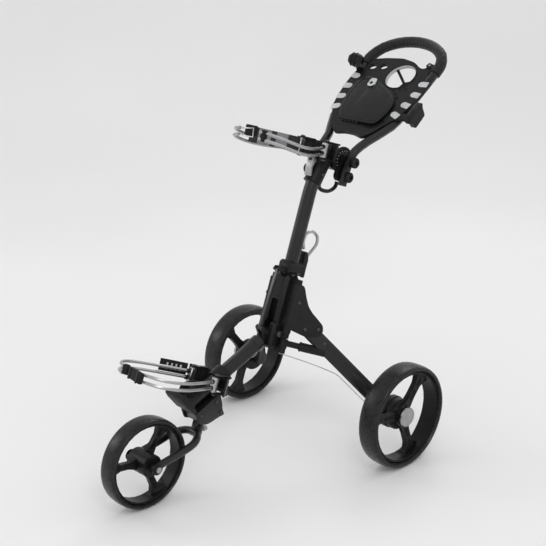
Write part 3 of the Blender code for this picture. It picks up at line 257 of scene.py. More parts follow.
def tyre_rubber(name, wheel, radius, half_width):
    """Solid tyre: smooth crown, curved sipes at both shoulders darkened with painted shade, and a little dust.
    """
    finish = Finish(name, Specular_IOR_Level=0.28)
    x, y, z = finish.split(finish.placed(wheel))
    angle = finish.node("ShaderNodeMath", {"operation": "ARCTAN2"}, z, y)
    across = x.size() / half_width
    reach = finish.node("ShaderNodeMath", {"operation": "SQRT"}, y * y + z * z) / radius
    bend = across * 2.6
    wave = (angle * 22.0 + bend * bend * 0.9).sine()
    shoulder = finish.clamp(across, 0.34, 0.42) * (1.0 - finish.clamp(across, 0.82, 0.90))
    outer = finish.clamp(reach, 0.90, 0.93)
    sipes = finish.clamp(wave, 0.93, 0.985) * shoulder * outer
    dust = finish.noise(60.0, 5.0)
    grain = finish.noise(1100.0, 2.0)
    tone = finish.mix(finish.clamp(dust, 0.45, 0.75, 0.0, 0.7), (0.010, 0.010, 0.0105),
                      (0.022, 0.022, 0.0225))
    # Painted shade: the colour goes near black along the sipes, standing for shade in their grooves.
    tone = finish.mix(finish.clamp(sipes, 0.0, 1.0, 0.0, 0.85), tone, (0.002, 0.002, 0.002))
    rough = finish.clamp(dust, 0.4, 0.7, 0.26, 0.38)
    below = finish.bump(grain, 0.00015, 0.5)
    return finish.feed(
        Base_Color=tone, Roughness=rough, Normal=finish.bump(1.0 - sipes, 0.0012, 0.9, below),
    )


def ribbed_grip(name):
    """Foam-rubber grip: soft ripples across it and a fine skin."""
    finish = Finish(name, Sheen_Weight=0.05, Sheen_Roughness=0.5, Specular_IOR_Level=0.25)
    x, y, z = finish.split(finish.coordinates())
    ripple = (x * 520.0).sine() * 0.5 + 0.5
    skin = finish.noise(1300.0, 3.0)
    clouds = finish.noise(26.0, 3.0)
    tone = finish.mix(finish.clamp(clouds, 0.35, 0.7) * 0.7, (0.008, 0.008, 0.0085), (0.018, 0.018, 0.0185))
    rough = finish.clamp(skin, 0.3, 0.7, 0.44, 0.58)
    below = finish.bump(ripple, 0.0009, 0.6)
    return finish.feed(Base_Color=tone, Roughness=rough, Normal=finish.bump(skin, 0.00016, 0.6, below))


def strap_tape(name):
    """Dark band with two paler reflective lengths, finely woven."""
    finish = Finish(name, Specular_IOR_Level=0.28)
    x, y, z = finish.split(finish.placed(UPPER))
    first = (y < -0.050) * (y > -0.082)
    second = (y < -0.096) * (y > -0.132)
    pale = finish.node("ShaderNodeMath", {"operation": "MAXIMUM"}, first, second)
    weave = (y * 3200.0).sine() * (z * 3200.0).sine()
    fade = finish.noise(70.0, 3.0)
    bright = finish.mix(finish.clamp(fade, 0.3, 0.7), (0.16, 0.16, 0.165), (0.24, 0.24, 0.25))
    dark = finish.mix(finish.clamp(fade, 0.3, 0.7), (0.016, 0.016, 0.017), (0.030, 0.030, 0.031))
    tone = finish.mix(pale, dark, bright)
    rough = finish.clamp(fade, 0.3, 0.7, 0.48, 0.6)
    return finish.feed(Base_Color=tone, Roughness=rough, Normal=finish.bump(weave, 0.00012, 0.5))


def pale_floor(name):
    finish = Finish(name, Specular_IOR_Level=0.15)
    clouds = finish.noise(1.2, 3.0)
    grain = finish.noise(240.0, 2.0)
    tone = finish.mix(finish.clamp(clouds, 0.3, 0.7), (0.86, 0.86, 0.86), (0.88, 0.88, 0.88))
    rough = finish.clamp(grain, 0.3, 0.7, 0.80, 0.86)
    return finish.feed(Base_Color=tone, Roughness=rough, Normal=finish.bump(grain, 0.0002, 0.1))


BLACK = (0.006, 0.006, 0.0063)
MOULDING = moulded("black_moulding", BLACK, 0.40)
SOFT_MOULDING = moulded("soft_black_moulding", (0.010, 0.010, 0.0105), 0.50, 1100.0)
CONSOLE_MOULDING = moulded("console_moulding", (0.006, 0.006, 0.0063), 0.44, 1700.0)
LID_MOULDING = moulded("lid_moulding", (0.005, 0.005, 0.0053), 0.30, 2200.0, 0.00005, 0.15)
GREY_MOULDING = moulded("pale_grey_moulding", (0.42, 0.43, 0.44), 0.48)
# Painted shade: a near-black matte patch laid where slots, holes and wells would hold shade.
PAINTED_SHADE_PATCH = moulded("painted_shade_patch", (0.004, 0.004, 0.004), 0.7)
TUBE_COAT = powder_coat("satin_black_coat", (0.009, 0.009, 0.0095), 0.30)
LEG_COAT = powder_coat("leg_coat", (0.008, 0.008, 0.0085), 0.36)
PLATED_ROD = bright_metal("plated_rod", (0.46, 0.46, 0.47), 0.30)
PLATED_CAP = bright_metal("plated_cap", (0.42, 0.42, 0.43), 0.34)
BLACK_STEEL = bright_metal("blackened_steel", (0.10, 0.10, 0.105), 0.36)
CABLE_SHEATH = moulded("cable_sheath", (0.30, 0.30, 0.31), 0.45, 2400.0)
GRIP_SKIN = ribbed_grip("grip_skin")
PAD_RUBBER = moulded("pad_rubber", (0.007, 0.007, 0.007), 0.62, 900.0, 0.00022)
STRAP_TAPE = strap_tape("strap_tape")
TYRES = {
    "rear_left_tyre": tyre_rubber("left_tyre_rubber", rear_wheel(1), REAR_RADIUS, 0.031),
    "rear_right_tyre": tyre_rubber("right_tyre_rubber", rear_wheel(-1), REAR_RADIUS, 0.031),
    "front_tyre": tyre_rubber("front_tyre_rubber", FRONT_WHEEL, FRONT_RADIUS, 0.026),
}

NODE_FINISH = {
    "mast_tube": TUBE_COAT, "front_tube": TUBE_COAT, "handle_tube": TUBE_COAT, "fork": TUBE_COAT,
    "leg_left": LEG_COAT, "leg_right": LEG_COAT, "front_bracket": LEG_COAT, "fold_link": BLACK_STEEL,
    "gusset_left": SOFT_MOULDING, "gusset_right": SOFT_MOULDING, "bag_foot": SOFT_MOULDING,
    "handle_grip": GRIP_SKIN, "console_tray": CONSOLE_MOULDING, "console_lid": LID_MOULDING,
    "lid_latch": GREY_MOULDING, "latch_loop": PLATED_ROD, "cam_lever": PLATED_CAP,
    "hub_cap_left": PLATED_CAP, "hub_cap_right": PLATED_CAP, "tracking_knob": PLATED_CAP,
    "main_pivot_pin": PLATED_CAP, "front_axle": PLATED_CAP, "axle_left": PLATED_CAP,
    "axle_right": PLATED_CAP,
    "clutch_bolt": BLACK_STEEL, "arm_bolt_left": BLACK_STEEL, "arm_bolt_right": BLACK_STEEL,
    "upper_strap": STRAP_TAPE, "lower_plate": PAD_RUBBER,
    "brake_cable_left": CABLE_SHEATH, "brake_cable_right": CABLE_SHEATH,
}
for cradle in ("lower", "upper"):
    for side, word in SIDES:
        NODE_FINISH[f"{cradle}_arm_{word}"] = PLATED_ROD
        NODE_FINISH[f"{cradle}_pad_{word}"] = PAD_RUBBER
NODE_FINISH.update(TYRES)
for name, node in NODES.items():
    finish = NODE_FINISH.get(name, MOULDING)
    node.data.materials.clear()
    node.data.materials.append(finish)

OWNER = {name: body for body, names in frame["record"]["behaviour"]["bodies"].items() for name in names}

# ---------------------------------------------------------------- small forms
def shade(mesh, angle=40.0):
    for polygon in mesh.polygons:
        polygon.use_smooth = True
    mesh.set_sharp_from_angle(angle=math.radians(angle))


def fit(name, mesh, matrix, finish, body):
    """Puts a finished mesh in its place on the cart and hangs it on its moving group."""
    mesh.transform(matrix)
    if matrix.determinant() < 0:
        mesh.flip_normals()
    shade(mesh)
    piece = bpy.data.objects.new(name, mesh)
    bpy.context.scene.collection.objects.link(piece)
    mesh.materials.clear()
    mesh.materials.append(finish)
    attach(piece, body)
    return piece


def lathe(profile, steps=28):
    """Closed form turned about Z from (radius, height) points that start and end on the axis."""
    work = bmesh.new()
    rings = []
    for radius, height in profile:
        if radius < 1e-6:
            rings.append([work.verts.new((0, 0, height))])
        else:
            ring = [
                work.verts.new((radius * math.cos(math.tau * i / steps),
                                radius * math.sin(math.tau * i / steps), height))
                for i in range(steps)
            ]
            rings.append(ring)
    for lower, upper in zip(rings, rings[1:]):
        for i in range(steps):
            j = (i + 1) % steps
            corners = [lower[i % len(lower)], lower[j % len(lower)], upper[j % len(upper)],
                       upper[i % len(upper)]]
            unique = list(dict.fromkeys(corners))
            if len(unique) > 2:
                work.faces.new(unique)
    bmesh.ops.recalc_face_normals(work, faces=work.faces)
    mesh = bpy.data.meshes.new("turned_form")
    work.to_mesh(mesh)
    work.free()
    return mesh


def ring_form(radius, thick, tall, steps=32):
    """Flat ring with rounded edges, standing on Z."""
    inner = radius - thick
    soft = min(thick, tall) * 0.3
    profile = [(inner, soft), (inner, tall - soft), (inner + soft, tall), (radius - soft, tall),
               (radius, tall - soft),
               (radius, soft), (radius - soft, 0), (inner + soft, 0), (inner, soft)]
    work = bmesh.new()
    rings = []
    for r, h in profile[:-1]:
        rings.append([
            work.verts.new((r * math.cos(math.tau * i / steps), r * math.sin(math.tau * i / steps), h))
            for i in range(steps)
        ])
    for lower, upper in zip(rings, rings[1:] + rings[:1]):
        for i in range(steps):
            j = (i + 1) % steps
            work.faces.new((lower[i], lower[j], upper[j], upper[i]))
    bmesh.ops.recalc_face_normals(work, faces=work.faces)
    mesh = bpy.data.meshes.new("ring_form")
    work.to_mesh(mesh)
    work.free()
    return mesh


def slab(outline, thickness, soft=0.0):
    """Outline in x and y, standing from z = 0 to the thickness, with softened edges."""
    work = bmesh.new()
    base = [work.verts.new((x, y, 0)) for x, y in outline]
    face = work.faces.new(base)
    grown = bmesh.ops.extrude_face_region(work, geom=[face])
    lifted = [v for v in grown["geom"] if isinstance(v, bmesh.types.BMVert)]
    bmesh.ops.translate(work, verts=lifted, vec=(0, 0, thickness))
    bmesh.ops.recalc_face_normals(work, faces=work.faces)
    if soft:
        bmesh.ops.bevel(
            work, geom=list(work.edges), offset=soft, segments=2, profile=0.6, affect="EDGES",
            clamp_overlap=True,
        )
    mesh = bpy.data.meshes.new("slab_form")
    work.to_mesh(mesh)
    work.free()
    return mesh


def bar(width, depth, soft=0.3, centre=(0.0, 0.0)):
    """Rounded bar outline, half sizes."""
    points = []
    radius = min(width, depth) * soft
    for sx, sy, start in ((1, 1, 0), (-1, 1, 90), (-1, -1, 180), (1, -1, 270)):
        for step in range(4):
            angle = math.radians(start + 30 * step)
            points.append((
                centre[0] + sx * (width - radius) + radius * math.cos(angle),
                centre[1] + sy * (depth - radius) + radius * math.sin(angle),
            ))
    return points


def rod(points, radius, sides=10, closed=False):
    """Round rod along a line of points, ends closed."""
    curve = bpy.data.curves.new("rod_form", "CURVE")
    curve.dimensions = "3D"
    curve.bevel_depth = radius
    curve.bevel_resolution = max(1, sides // 4)
    curve.use_fill_caps = True
    spline = curve.splines.new("POLY")
    spline.points.add(len(points) - 1)
    for point, target in zip(spline.points, points):
        point.co = (*target, 1.0)
    spline.use_cyclic_u = closed
    holder = bpy.data.objects.new("rod_holder", curve)
    bpy.context.scene.collection.objects.link(holder)
    mesh = bpy.data.meshes.new_from_object(holder.evaluated_get(bpy.context.evaluated_depsgraph_get()))
    bpy.data.objects.remove(holder)
    return mesh


# ---------------------------------------------------------------- repeats by Geometry Nodes
def repeat_tree():
    """Repeats its input along a step and about Z by a turn."""
    tree = bpy.data.node_groups.new("repeat_form", "GeometryNodeTree")
    sockets = {}
    for name, kind, way in (
        ("Geometry", "NodeSocketGeometry", "INPUT"), ("Count", "NodeSocketInt", "INPUT"),
        ("Step", "NodeSocketVector", "INPUT"), ("Turn", "NodeSocketFloat", "INPUT"),
        ("Finish", "NodeSocketMaterial", "INPUT"), ("Geometry", "NodeSocketGeometry", "OUTPUT"),
    ):
        item = tree.interface.new_socket(name, in_out=way, socket_type=kind)
        if way == "INPUT":
            sockets[name] = item.identifier
    nodes = tree.nodes
    given = nodes.new("NodeGroupInput")
    line = nodes.new("GeometryNodeMeshLine")
    index = nodes.new("GeometryNodeInputIndex")
    angle = nodes.new("ShaderNodeMath")
    angle.operation = "MULTIPLY"
    turn = nodes.new("ShaderNodeCombineXYZ")
    copies = nodes.new("GeometryNodeInstanceOnPoints")
    real = nodes.new("GeometryNodeRealizeInstances")
    coat = nodes.new("GeometryNodeSetMaterial")
    given_out = nodes.new("NodeGroupOutput")
    for source, target in (
        (given.outputs["Count"], line.inputs["Count"]), (given.outputs["Step"], line.inputs["Offset"]),
        (index.outputs[0], angle.inputs[0]), (given.outputs["Turn"], angle.inputs[1]),
        (angle.outputs[0], turn.inputs["Z"]), (line.outputs[0], copies.inputs["Points"]),
        (given.outputs["Geometry"], copies.inputs["Instance"]),
        (turn.outputs[0], copies.inputs["Rotation"]),
        (copies.outputs[0], real.inputs[0]), (real.outputs[0], coat.inputs["Geometry"]),
        (given.outputs["Finish"], coat.inputs["Material"]), (coat.outputs[0], given_out.inputs[0]),
    ):
        tree.links.new(source, target)
    return tree, sockets


def screw_tree():
    """Stands one screw head on every point, along the point's own axis."""
    tree = bpy.data.node_groups.new("screw_set", "GeometryNodeTree")
    sockets = {}
    for name, kind, way in (
        ("Geometry", "NodeSocketGeometry", "INPUT"), ("Screw", "NodeSocketObject", "INPUT"),
        ("Size", "NodeSocketFloat", "INPUT"), ("Finish", "NodeSocketMaterial", "INPUT"),
        ("Geometry", "NodeSocketGeometry", "OUTPUT"),
    ):
        item = tree.interface.new_socket(name, in_out=way, socket_type=kind)
        if way == "INPUT":
            sockets[name] = item.identifier
    nodes = tree.nodes
    given = nodes.new("NodeGroupInput")
    form = nodes.new("GeometryNodeObjectInfo")
    axis = nodes.new("GeometryNodeInputNamedAttribute")
    axis.data_type = "FLOAT_VECTOR"
    axis.inputs["Name"].default_value = "stands_along"
    aim = nodes.new("FunctionNodeAlignRotationToVector")
    aim.axis = "Z"
    copies = nodes.new("GeometryNodeInstanceOnPoints")
    real = nodes.new("GeometryNodeRealizeInstances")
    coat = nodes.new("GeometryNodeSetMaterial")
    given_out = nodes.new("NodeGroupOutput")
    for source, target in (
        (given.outputs["Screw"], form.inputs["Object"]),
        (given.outputs["Geometry"], copies.inputs["Points"]),
        (form.outputs["Geometry"], copies.inputs["Instance"]), (axis.outputs[0], aim.inputs["Vector"]),
        (aim.outputs[0], copies.inputs["Rotation"]), (given.outputs["Size"], copies.inputs["Scale"]),
        (copies.outputs[0], real.inputs[0]), (real.outputs[0], coat.inputs["Geometry"]),
        (given.outputs["Finish"], coat.inputs["Material"]), (coat.outputs[0], given_out.inputs[0]),
    ):
        tree.links.new(source, target)
    return tree, sockets


REPEAT = repeat_tree()
SCREWS = screw_tree()


def grown(mesh, tree_and_sockets, **values):
    """Runs a tree on a mesh once and returns the plain result."""
    tree, sockets = tree_and_sockets
    holder = bpy.data.objects.new("tree_holder", mesh)
    bpy.context.scene.collection.objects.link(holder)
    modifier = holder.modifiers.new("repeat", "NODES")
    modifier.node_group = tree
    for name, value in values.items():
        modifier[sockets[name]] = value
    result = bpy.data.meshes.new_from_object(holder.evaluated_get(bpy.context.evaluated_depsgraph_get()))
    bpy.data.objects.remove(holder)
    return result


def repeat(mesh, count, step=(0.0, 0.0, 0.0), turn=0.0, finish=None):
    return grown(mesh, REPEAT, Count=count, Step=step, Turn=turn, Finish=finish or MOULDING)


def screws(name, places, size, finish, body):
    """Screw heads at (frame, point, axis) places, all on one moving group."""
    mesh = bpy.data.meshes.new(name)
    points = [matrix @ Vector(point) for matrix, point, axis in places]
    mesh.from_pydata(points, [], [])
    along = mesh.attributes.new("stands_along", "FLOAT_VECTOR", "POINT")
    for item, (matrix, point, axis) in zip(along.data, places):
        item.vector = (matrix.to_3x3() @ Vector(axis)).normalized()
    result = grown(mesh, SCREWS, Screw=SCREW_FORM, Size=size, Finish=finish)
    return fit(name, result, Matrix.Identity(4), finish, body)


# One button head of 1 m radius with a round socket; each set scales it.
head_profile = [(0.0, 0.20), (0.36, 0.20), (0.42, 0.46), (0.60, 0.50), (0.86, 0.36), (1.0, 0.12),
                (1.0, -0.10), (0.0, -0.10)]
SCREW_FORM = bpy.data.objects.new("screw_form", lathe(head_profile, 18))
bpy.context.scene.collection.objects.link(SCREW_FORM)

# ---------------------------------------------------------------- softened edges on the carried pieces
SQUARE_EDGED = ("gusset_", "bag_foot", "front_bracket", "leg_", "brake_lever", "latch_lever", "console_lid",
                "lower_plate",
                "upper_strap", "lower_pad", "upper_pad", "cam_lever")


def softened(name, node):
    """A merged copy of a carried piece with smooth round faces and, on square ones, a small edge radius."""
    mesh = node.data.copy()
    work = bmesh.new()
    work.from_mesh(mesh)
    bmesh.ops.remove_doubles(work, verts=work.verts, dist=0.00002)
    bmesh.ops.dissolve_limit(work, angle_limit=math.radians(0.6), verts=work.verts, edges=work.edges)
    work.to_mesh(mesh)
    work.free()
    holder = bpy.data.objects.new(name + "_holder", mesh)
    bpy.context.scene.collection.objects.link(holder)
    if name.startswith(SQUARE_EDGED):
        bevel = holder.modifiers.new("edge_radius", "BEVEL")
        bevel.width = 0.0007
        bevel.segments = 2
        bevel.limit_method = "ANGLE"
        bevel.angle_limit = math.radians(38.0)
        bevel.use_clamp_overlap = True
    result = bpy.data.meshes.new_from_object(holder.evaluated_get(bpy.context.evaluated_depsgraph_get()))
    bpy.data.objects.remove(holder)
    piece = fit(name + "_finished", result, Matrix.Identity(4), node.data.materials[0], OWNER[name])
    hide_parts(name)
    return piece


def tyre(name, centre, radius, half, body):
    """Round-crowned solid tyre with a moulded bead line on each wall."""
    bead = radius * 0.880
    wall = radius - bead
    profile = [(bead, -half * 0.62), (bead + wall * 0.10, -half * 0.90),
               (bead + wall * 0.22, -half * 0.985),
               (bead + wall * 0.27, -half * 0.955), (bead + wall * 0.32, -half * 0.992)]
    for step in range(0, 13):
        angle = math.radians(-90 + 15 * step)
        profile.append((bead + wall * 0.42 + wall * 0.58 * abs(math.cos(angle)) ** 0.62,
                        half * 0.998 * math.copysign(abs(math.sin(angle)) ** 0.80, math.sin(angle))))
    profile += [(r, -x) for r, x in profile[4::-1]]
    steps = 96
    work = bmesh.new()
    rings = []
    for r, x in profile:
        rings.append([
            work.verts.new((r * math.cos(math.tau * i / steps), r * math.sin(math.tau * i / steps), x))
            for i in range(steps)
        ])
    for lower, upper in zip(rings, rings[1:] + rings[:1]):
        for i in range(steps):
            j = (i + 1) % steps
            work.faces.new((lower[i], lower[j], upper[j], upper[i]))
    bmesh.ops.recalc_face_normals(work, faces=work.faces)
    mesh = bpy.data.meshes.new(name)
    work.to_mesh(mesh)
    work.free()
    piece = fit(name + "_finished", mesh, centre @ facing("X"), TYRES[name], body)
    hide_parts(name)


TYRE_PLACES = (
    ("rear_left_tyre", rear_wheel(1), REAR_RADIUS, 0.031, "rear_roller_left"),
    ("rear_right_tyre", rear_wheel(-1), REAR_RADIUS, 0.031, "rear_roller_right"),
    ("front_tyre", FRONT_WHEEL, FRONT_RADIUS, 0.026, "front_roller"),
)
for row in TYRE_PLACES:
    tyre(*row)
for name, node in NODES.items():
    if name not in TYRES:
        softened(name, node)


# ---------------------------------------------------------------- wheels
def wheel_dressing(word, body, centre, side, clock, radius, spoke_face):
    """Two slots in each spoke and a ring at the rim, on the outward face."""
    outward = centre @ facing("X", side)
    # The spoke slots are thin near-black patches of painted shade laid on the spoke, not cut into it.
    for number, (start, end, half) in enumerate(((0.32, 0.54, 0.0055), (0.60, 0.76, 0.0042))):
        middle = (start + end) / 2 * radius
        slot = slab(bar((end - start) / 2 * radius, half, 0.9), 0.0008, 0.0002)
        # The form's own X has to end up along the spoke at the clock angle.
        slot.transform(Matrix.Translation((middle, 0, 0)))
        ring = repeat(slot, 3, turn=math.tau / 3, finish=PAINTED_SHADE_PATCH)
        spoke = outward.inverted().to_3x3() @ Vector((0, math.sin(clock), math.cos(clock)))
        aimed = outward @ Matrix.Translation((0, 0, spoke_face)) @ Matrix.Rotation(math.atan2(spoke.y,
                                                                                              spoke.x), 4, "Z")
        fit(f"{word}_spoke_slots_{number}", ring, aimed, PAINTED_SHADE_PATCH, body)
    rim = ring_form(radius * 0.872, 0.0035, 0.0022, 64)
    fit(f"{word}_rim_bead", rim, outward @ Matrix.Translation((0, 0, radius * 0.148)), MOULDING, body)


for side, word in SIDES:
    clock = math.radians(40.0 if side > 0 else 80.0)
    wheel = rear_wheel(side)
    wheel_dressing(f"rear_{word}", f"rear_roller_{word}", wheel, side, clock, REAR_RADIUS, 0.0046)
    outward = wheel @ facing("X", side)
    # Hub cap: a raised rim, a shallow dish and a small button in the middle.
    cap_ring = ring_form(0.0262, 0.0040, 0.0012, 48)
    fit(f"cap_rim_{word}", cap_ring, outward @ Matrix.Translation((0, 0, 0.0218)), PLATED_CAP,
        f"cap_{word}")
    button = lathe([(0, 0.0), (0.0085, 0.0), (0.0085, 0.0008), (0.0070, 0.0016), (0, 0.0018)], 28)
    fit(f"cap_button_{word}", button, outward @ Matrix.Translation((0, 0, 0.0219)), PLATED_CAP,
        f"cap_{word}")
    hub_ring = ring_form(0.0285, 0.0030, 0.0012, 40)
    fit(f"hub_ring_{word}", hub_ring, outward @ Matrix.Translation((0, 0, 0.0114)), MOULDING,
        f"rear_roller_{word}")

for side, word in SIDES:
    wheel_dressing(f"front_{word}", "front_roller", FRONT_WHEEL, side, math.radians(39.0), FRONT_RADIUS,
                   0.0054 if side > 0 else 0.0066)
    outward = FRONT_WHEEL @ facing("X", side)
    washer = lathe([(0, 0), (0.0150, 0), (0.0155, 0.0010), (0.0140, 0.0022), (0.0095, 0.0030), (0, 0.0030)],
                   32)
    fit(f"front_hub_washer_{word}", washer, outward @ Matrix.Translation((0, 0, 0.0553)), MOULDING,
        "steering")

# ---------------------------------------------------------------- rear legs
leg_screws = {word: [] for _, word in SIDES}
for side, word in SIDES:
    gate = leg_gate(side)
    beam = leg_beam(side)
    body = f"rear_leg_{word}"
    for face in (1, -1):
        for x, z in ((0.046, 0.052), (0.082, 0.060), (0.014, 0.118)):
            leg_screws[word].append((gate, (x, face * SCREW_GRIP, z), (0, face, 0)))
        leg_screws[word].append((beam, (0.020, face * 0.0095, 0.0045), (0, face, 0)))
        leg_screws[word].append((beam, (0.226, face * 0.0095, 0.0045), (0, face, 0)))
    screws(f"leg_screws_{word}", leg_screws[word], 0.0048, BLACK_STEEL, body)
    # Long raised rails on both broad faces of the leg.
    for face in (1, -1):
        rail = slab(bar(0.097, 0.0013, 0.9), 0.0009, 0.0003)
        rails = repeat(rail, 2, step=(0.0, 0.0235, 0.0), finish=LEG_COAT)
        turn = Matrix.Translation((0.128, face * 0.0093,
                                   -0.0075)) @ Matrix.Rotation(math.radians(90 if face < 0 else -90), 4,
                                                               "X")
        if face > 0:
            turn = turn @ Matrix.Translation((0, -0.0235, 0))
        fit(f"leg_rails_{word}_{'a' if face > 0 else 'b'}", rails, beam @ turn, LEG_COAT, body)
    # Ring at the sleeve's mouth.
    collar = ring_form(0.0135, 0.0018, 0.0045, 28)
    fit(f"strut_mouth_{word}", collar, gate @ Matrix.Translation((0.044, 0, 0.001)) @ facing("X"), MOULDING,
        body)
    wheel = rear_wheel(side)
    rim = ring_form(0.0452, 0.0022, 0.0020, 48)
    back_face = wheel @ Matrix.Translation((-side * 0.0400, 0, 0)) @ facing("X", -side)
    fit(f"brake_rim_{word}", rim, back_face, MOULDING, body)

# ---------------------------------------------------------------- mast
ribs = slab(bar(0.0007, 0.052, 0.9), 0.0010, 0.0003)
for side, word in SIDES:
    row = repeat(ribs.copy(), 7, step=(0.0062, 0.0, 0.0), finish=MOULDING)
    on_side = MAST @ Matrix.Translation((side * 0.0248, 0, 0.118)) @ facing("X", side)
    up = on_side.inverted().to_3x3() @ (MAST.to_3x3() @ Vector((0, 0, 1)))
    aimed = on_side @ Matrix.Rotation(math.atan2(up.y, up.x) - math.pi / 2, 4,
                                      "Z") @ Matrix.Translation((-0.0186, 0, 0))
    fit(f"housing_ribs_{word}", row, aimed, MOULDING, "mast")
for number, (height, radius) in enumerate(((-0.0425, 0.0252), (0.0365, 0.0252))):
    band = ring_form(radius + 0.0006, 0.0022, 0.0030, 40)
    fit(f"collar_band_{number}", band, HEAD @ Matrix.Translation((0, 0, height)), MOULDING, "mast")
screws(
    "mast_screws",
    [
        (HEAD, (0.0243, 0.0, -0.014), (1, 0, 0)), (HEAD, (-0.0243, 0.0, -0.014), (-1, 0, 0)),
        (MAST, (0.0310, 0.012, 0.030), (1, 0, 0)), (MAST, (-0.0310, 0.012, 0.030), (-1, 0, 0)),
    ],
    0.0046, BLACK_STEEL, "mast",
)
knob = lathe([(0, -0.004), (0.0055, -0.004), (0.0065, 0.002), (0.0085, 0.006), (0.0085, 0.012),
              (0.0060, 0.0150), (0, 0.0155)], 24)
fit("lock_knob", knob, MAST @ Matrix.Translation((0, 0.0300, 0.1900)) @ facing("Y"), MOULDING, "lock_slide")

# ---------------------------------------------------------------- steering head and bracket
for number, (height, radius, tall) in enumerate(((0.0214, 0.0176, 0.0034), (0.0280, 0.0172, 0.0024),
                                                 (0.0560, 0.0174, 0.0040))):
    fit(f"steering_ring_{number}", ring_form(radius, 0.0030, tall, 36),
        STEERING @ Matrix.Translation((0, 0, height)), MOULDING,
        "front_frame")
bracket_places = []
for side in (1, -1):
    for y, z in ((-0.258, -0.034), (-0.316, -0.036), (-0.256, -0.072)):
        bracket_places.append((FRONT, (side * 0.0310, y, z), (side, 0, 0)))
screws("bracket_screws", bracket_places, 0.0052, BLACK_STEEL, "front_frame")
lip_ribs = repeat(slab(bar(0.0010, 0.010, 0.9), 0.0012, 0.0003), 9, step=(0.0078, 0, 0),
                  finish=SOFT_MOULDING)
fit("foot_ribs", lip_ribs, FRONT @ Matrix.Translation((-0.0312, -0.290, 0.0258)), SOFT_MOULDING,
    "front_frame")

# ---------------------------------------------------------------- handle clutch
for side, word in SIDES:
    outward = CLUTCH @ facing("X", side)
    tooth = slab(bar(0.0010, 0.0013, 0.4), 0.0060, 0.0003)
    tooth.transform(Matrix.Translation((0.0363, 0, 0)))
    teeth = repeat(tooth, 36, turn=math.tau / 36, finish=SOFT_MOULDING)
    fit(f"clutch_teeth_{word}", teeth, outward @ Matrix.Translation((0, 0, 0.0270)), SOFT_MOULDING,
        "handle")
    face_ring = ring_form(0.0330, 0.0030, 0.0012, 48)
    fit(f"clutch_ring_{word}", face_ring, outward @ Matrix.Translation((0, 0, 0.0348)), MOULDING, "handle")
    tick = slab(bar(0.0020, 0.0006, 0.9), 0.0006)
    tick.transform(Matrix.Translation((0.0262, 0, 0)))
    ticks = repeat(tick, 18, turn=math.tau / 18, finish=GREY_MOULDING)
    fit(f"clutch_ticks_{word}", ticks, outward @ Matrix.Translation((0, 0, 0.0349)), GREY_MOULDING,
        "handle")
    nut = lathe([(0, -0.0004), (0.0132, -0.0004), (0.0145, 0.0020), (0.0145, 0.0100), (0.0118, 0.0128),
                 (0.0062, 0.0132),
                 (0.0052, 0.0090), (0, 0.0088)], 32)
    for label, (y, z) in (("upper", (0.0, 0.0)), ("lower", (-0.023, -0.036))):
        seat = CLUTCH @ Matrix.Translation((side * 0.0702, y, z)) @ facing("X", side)
        fit(f"{label}_nut_{word}", nut.copy(), seat, MOULDING, "handle")

# ---------------------------------------------------------------- console
TRAY_TOP = 0.0040
def side_pad():
    """D-shaped grip insert: a half round towards the tray's middle and square at its edge."""
    outline = [(0.0165, -0.0095), (0.0175, -0.0080), (0.0175, 0.0080), (0.0165, 0.0095)]
    outline += [(-0.0020 + 0.0105 * math.cos(math.radians(a)),
                 0.0098 * math.sin(math.radians(a))) for a in range(90, 271, 15)]
    return slab(outline, 0.0018, 0.0006)


for side, word in SIDES:
    for number, (x, up) in enumerate(((0.1190, -0.003), (0.1190, -0.044), (0.1130, -0.085),
                                      (0.1040, -0.124))):
        up = up + 0.006 if side > 0 else up
        outward = Matrix.Rotation(0.0 if side > 0 else math.pi, 4, "Z")
        lean = Matrix.Rotation(side * math.radians((-6.0, 4.0, 10.0, 20.0)[number] * -1.0), 4, "Z")
        spot = CONSOLE @ Matrix.Translation((side * x, up, TRAY_TOP - 0.0004)) @ lean @ outward
        fit(f"side_pad_{word}_{number}", side_pad(), spot, GREY_MOULDING, "handle")
cup = CONSOLE @ Matrix.Translation((0.029, 0.020, 0.0))
fit("cup_lip", ring_form(0.0490, 0.0034, 0.0022, 64), cup @ Matrix.Translation((0, 0, TRAY_TOP - 0.0004)),
    CONSOLE_MOULDING, "handle")
fit("cup_liner", ring_form(0.0456, 0.0016, 0.0105, 64), cup @ Matrix.Translation((0, 0, -0.0070)),
    GREY_MOULDING, "handle")
basket_arm = rod([(0.0448, 0, -0.003), (0.0420, 0, -0.012), (0.0330, 0, -0.020), (0.0160, 0, -0.0240),
                  (0.0, 0, -0.0250)], 0.0042, 10)
fit("cup_basket", repeat(basket_arm, 3, turn=math.tau / 3, finish=MOULDING),
    cup @ Matrix.Rotation(math.radians(20), 4, "Z"),
    MOULDING, "handle")
for number, (x, up) in enumerate(((0.042, -0.032), (0.059, -0.027), (0.076, -0.022), (0.057, -0.045),
                                  (0.071, -0.059))):
    spot = CONSOLE @ Matrix.Translation((x, up, TRAY_TOP - 0.0003))
    fit(f"tee_rim_{number}", ring_form(0.0048, 0.0012, 0.0012, 24), spot, CONSOLE_MOULDING, "handle")
    # Each tee well is a thin near-black disc of painted shade where the hole would be dark.
    well = lathe([(0, 0), (0.0037, 0), (0.0037, 0.0004), (0, 0.0004)], 20)
    fit(f"tee_well_{number}", well, spot, PAINTED_SHADE_PATCH, "handle")
for number, (x, up) in enumerate(((-0.089, 0.041), (-0.052, 0.047))):
    lip = ring_form(1.0, 0.12, 0.1, 40)
    lip.transform(Matrix.Diagonal((0.0158, 0.0118, 0.016, 1.0)))
    fit(f"oval_rim_{number}", lip, CONSOLE @ Matrix.Translation((x, up, TRAY_TOP - 0.0003)),
        CONSOLE_MOULDING, "handle")
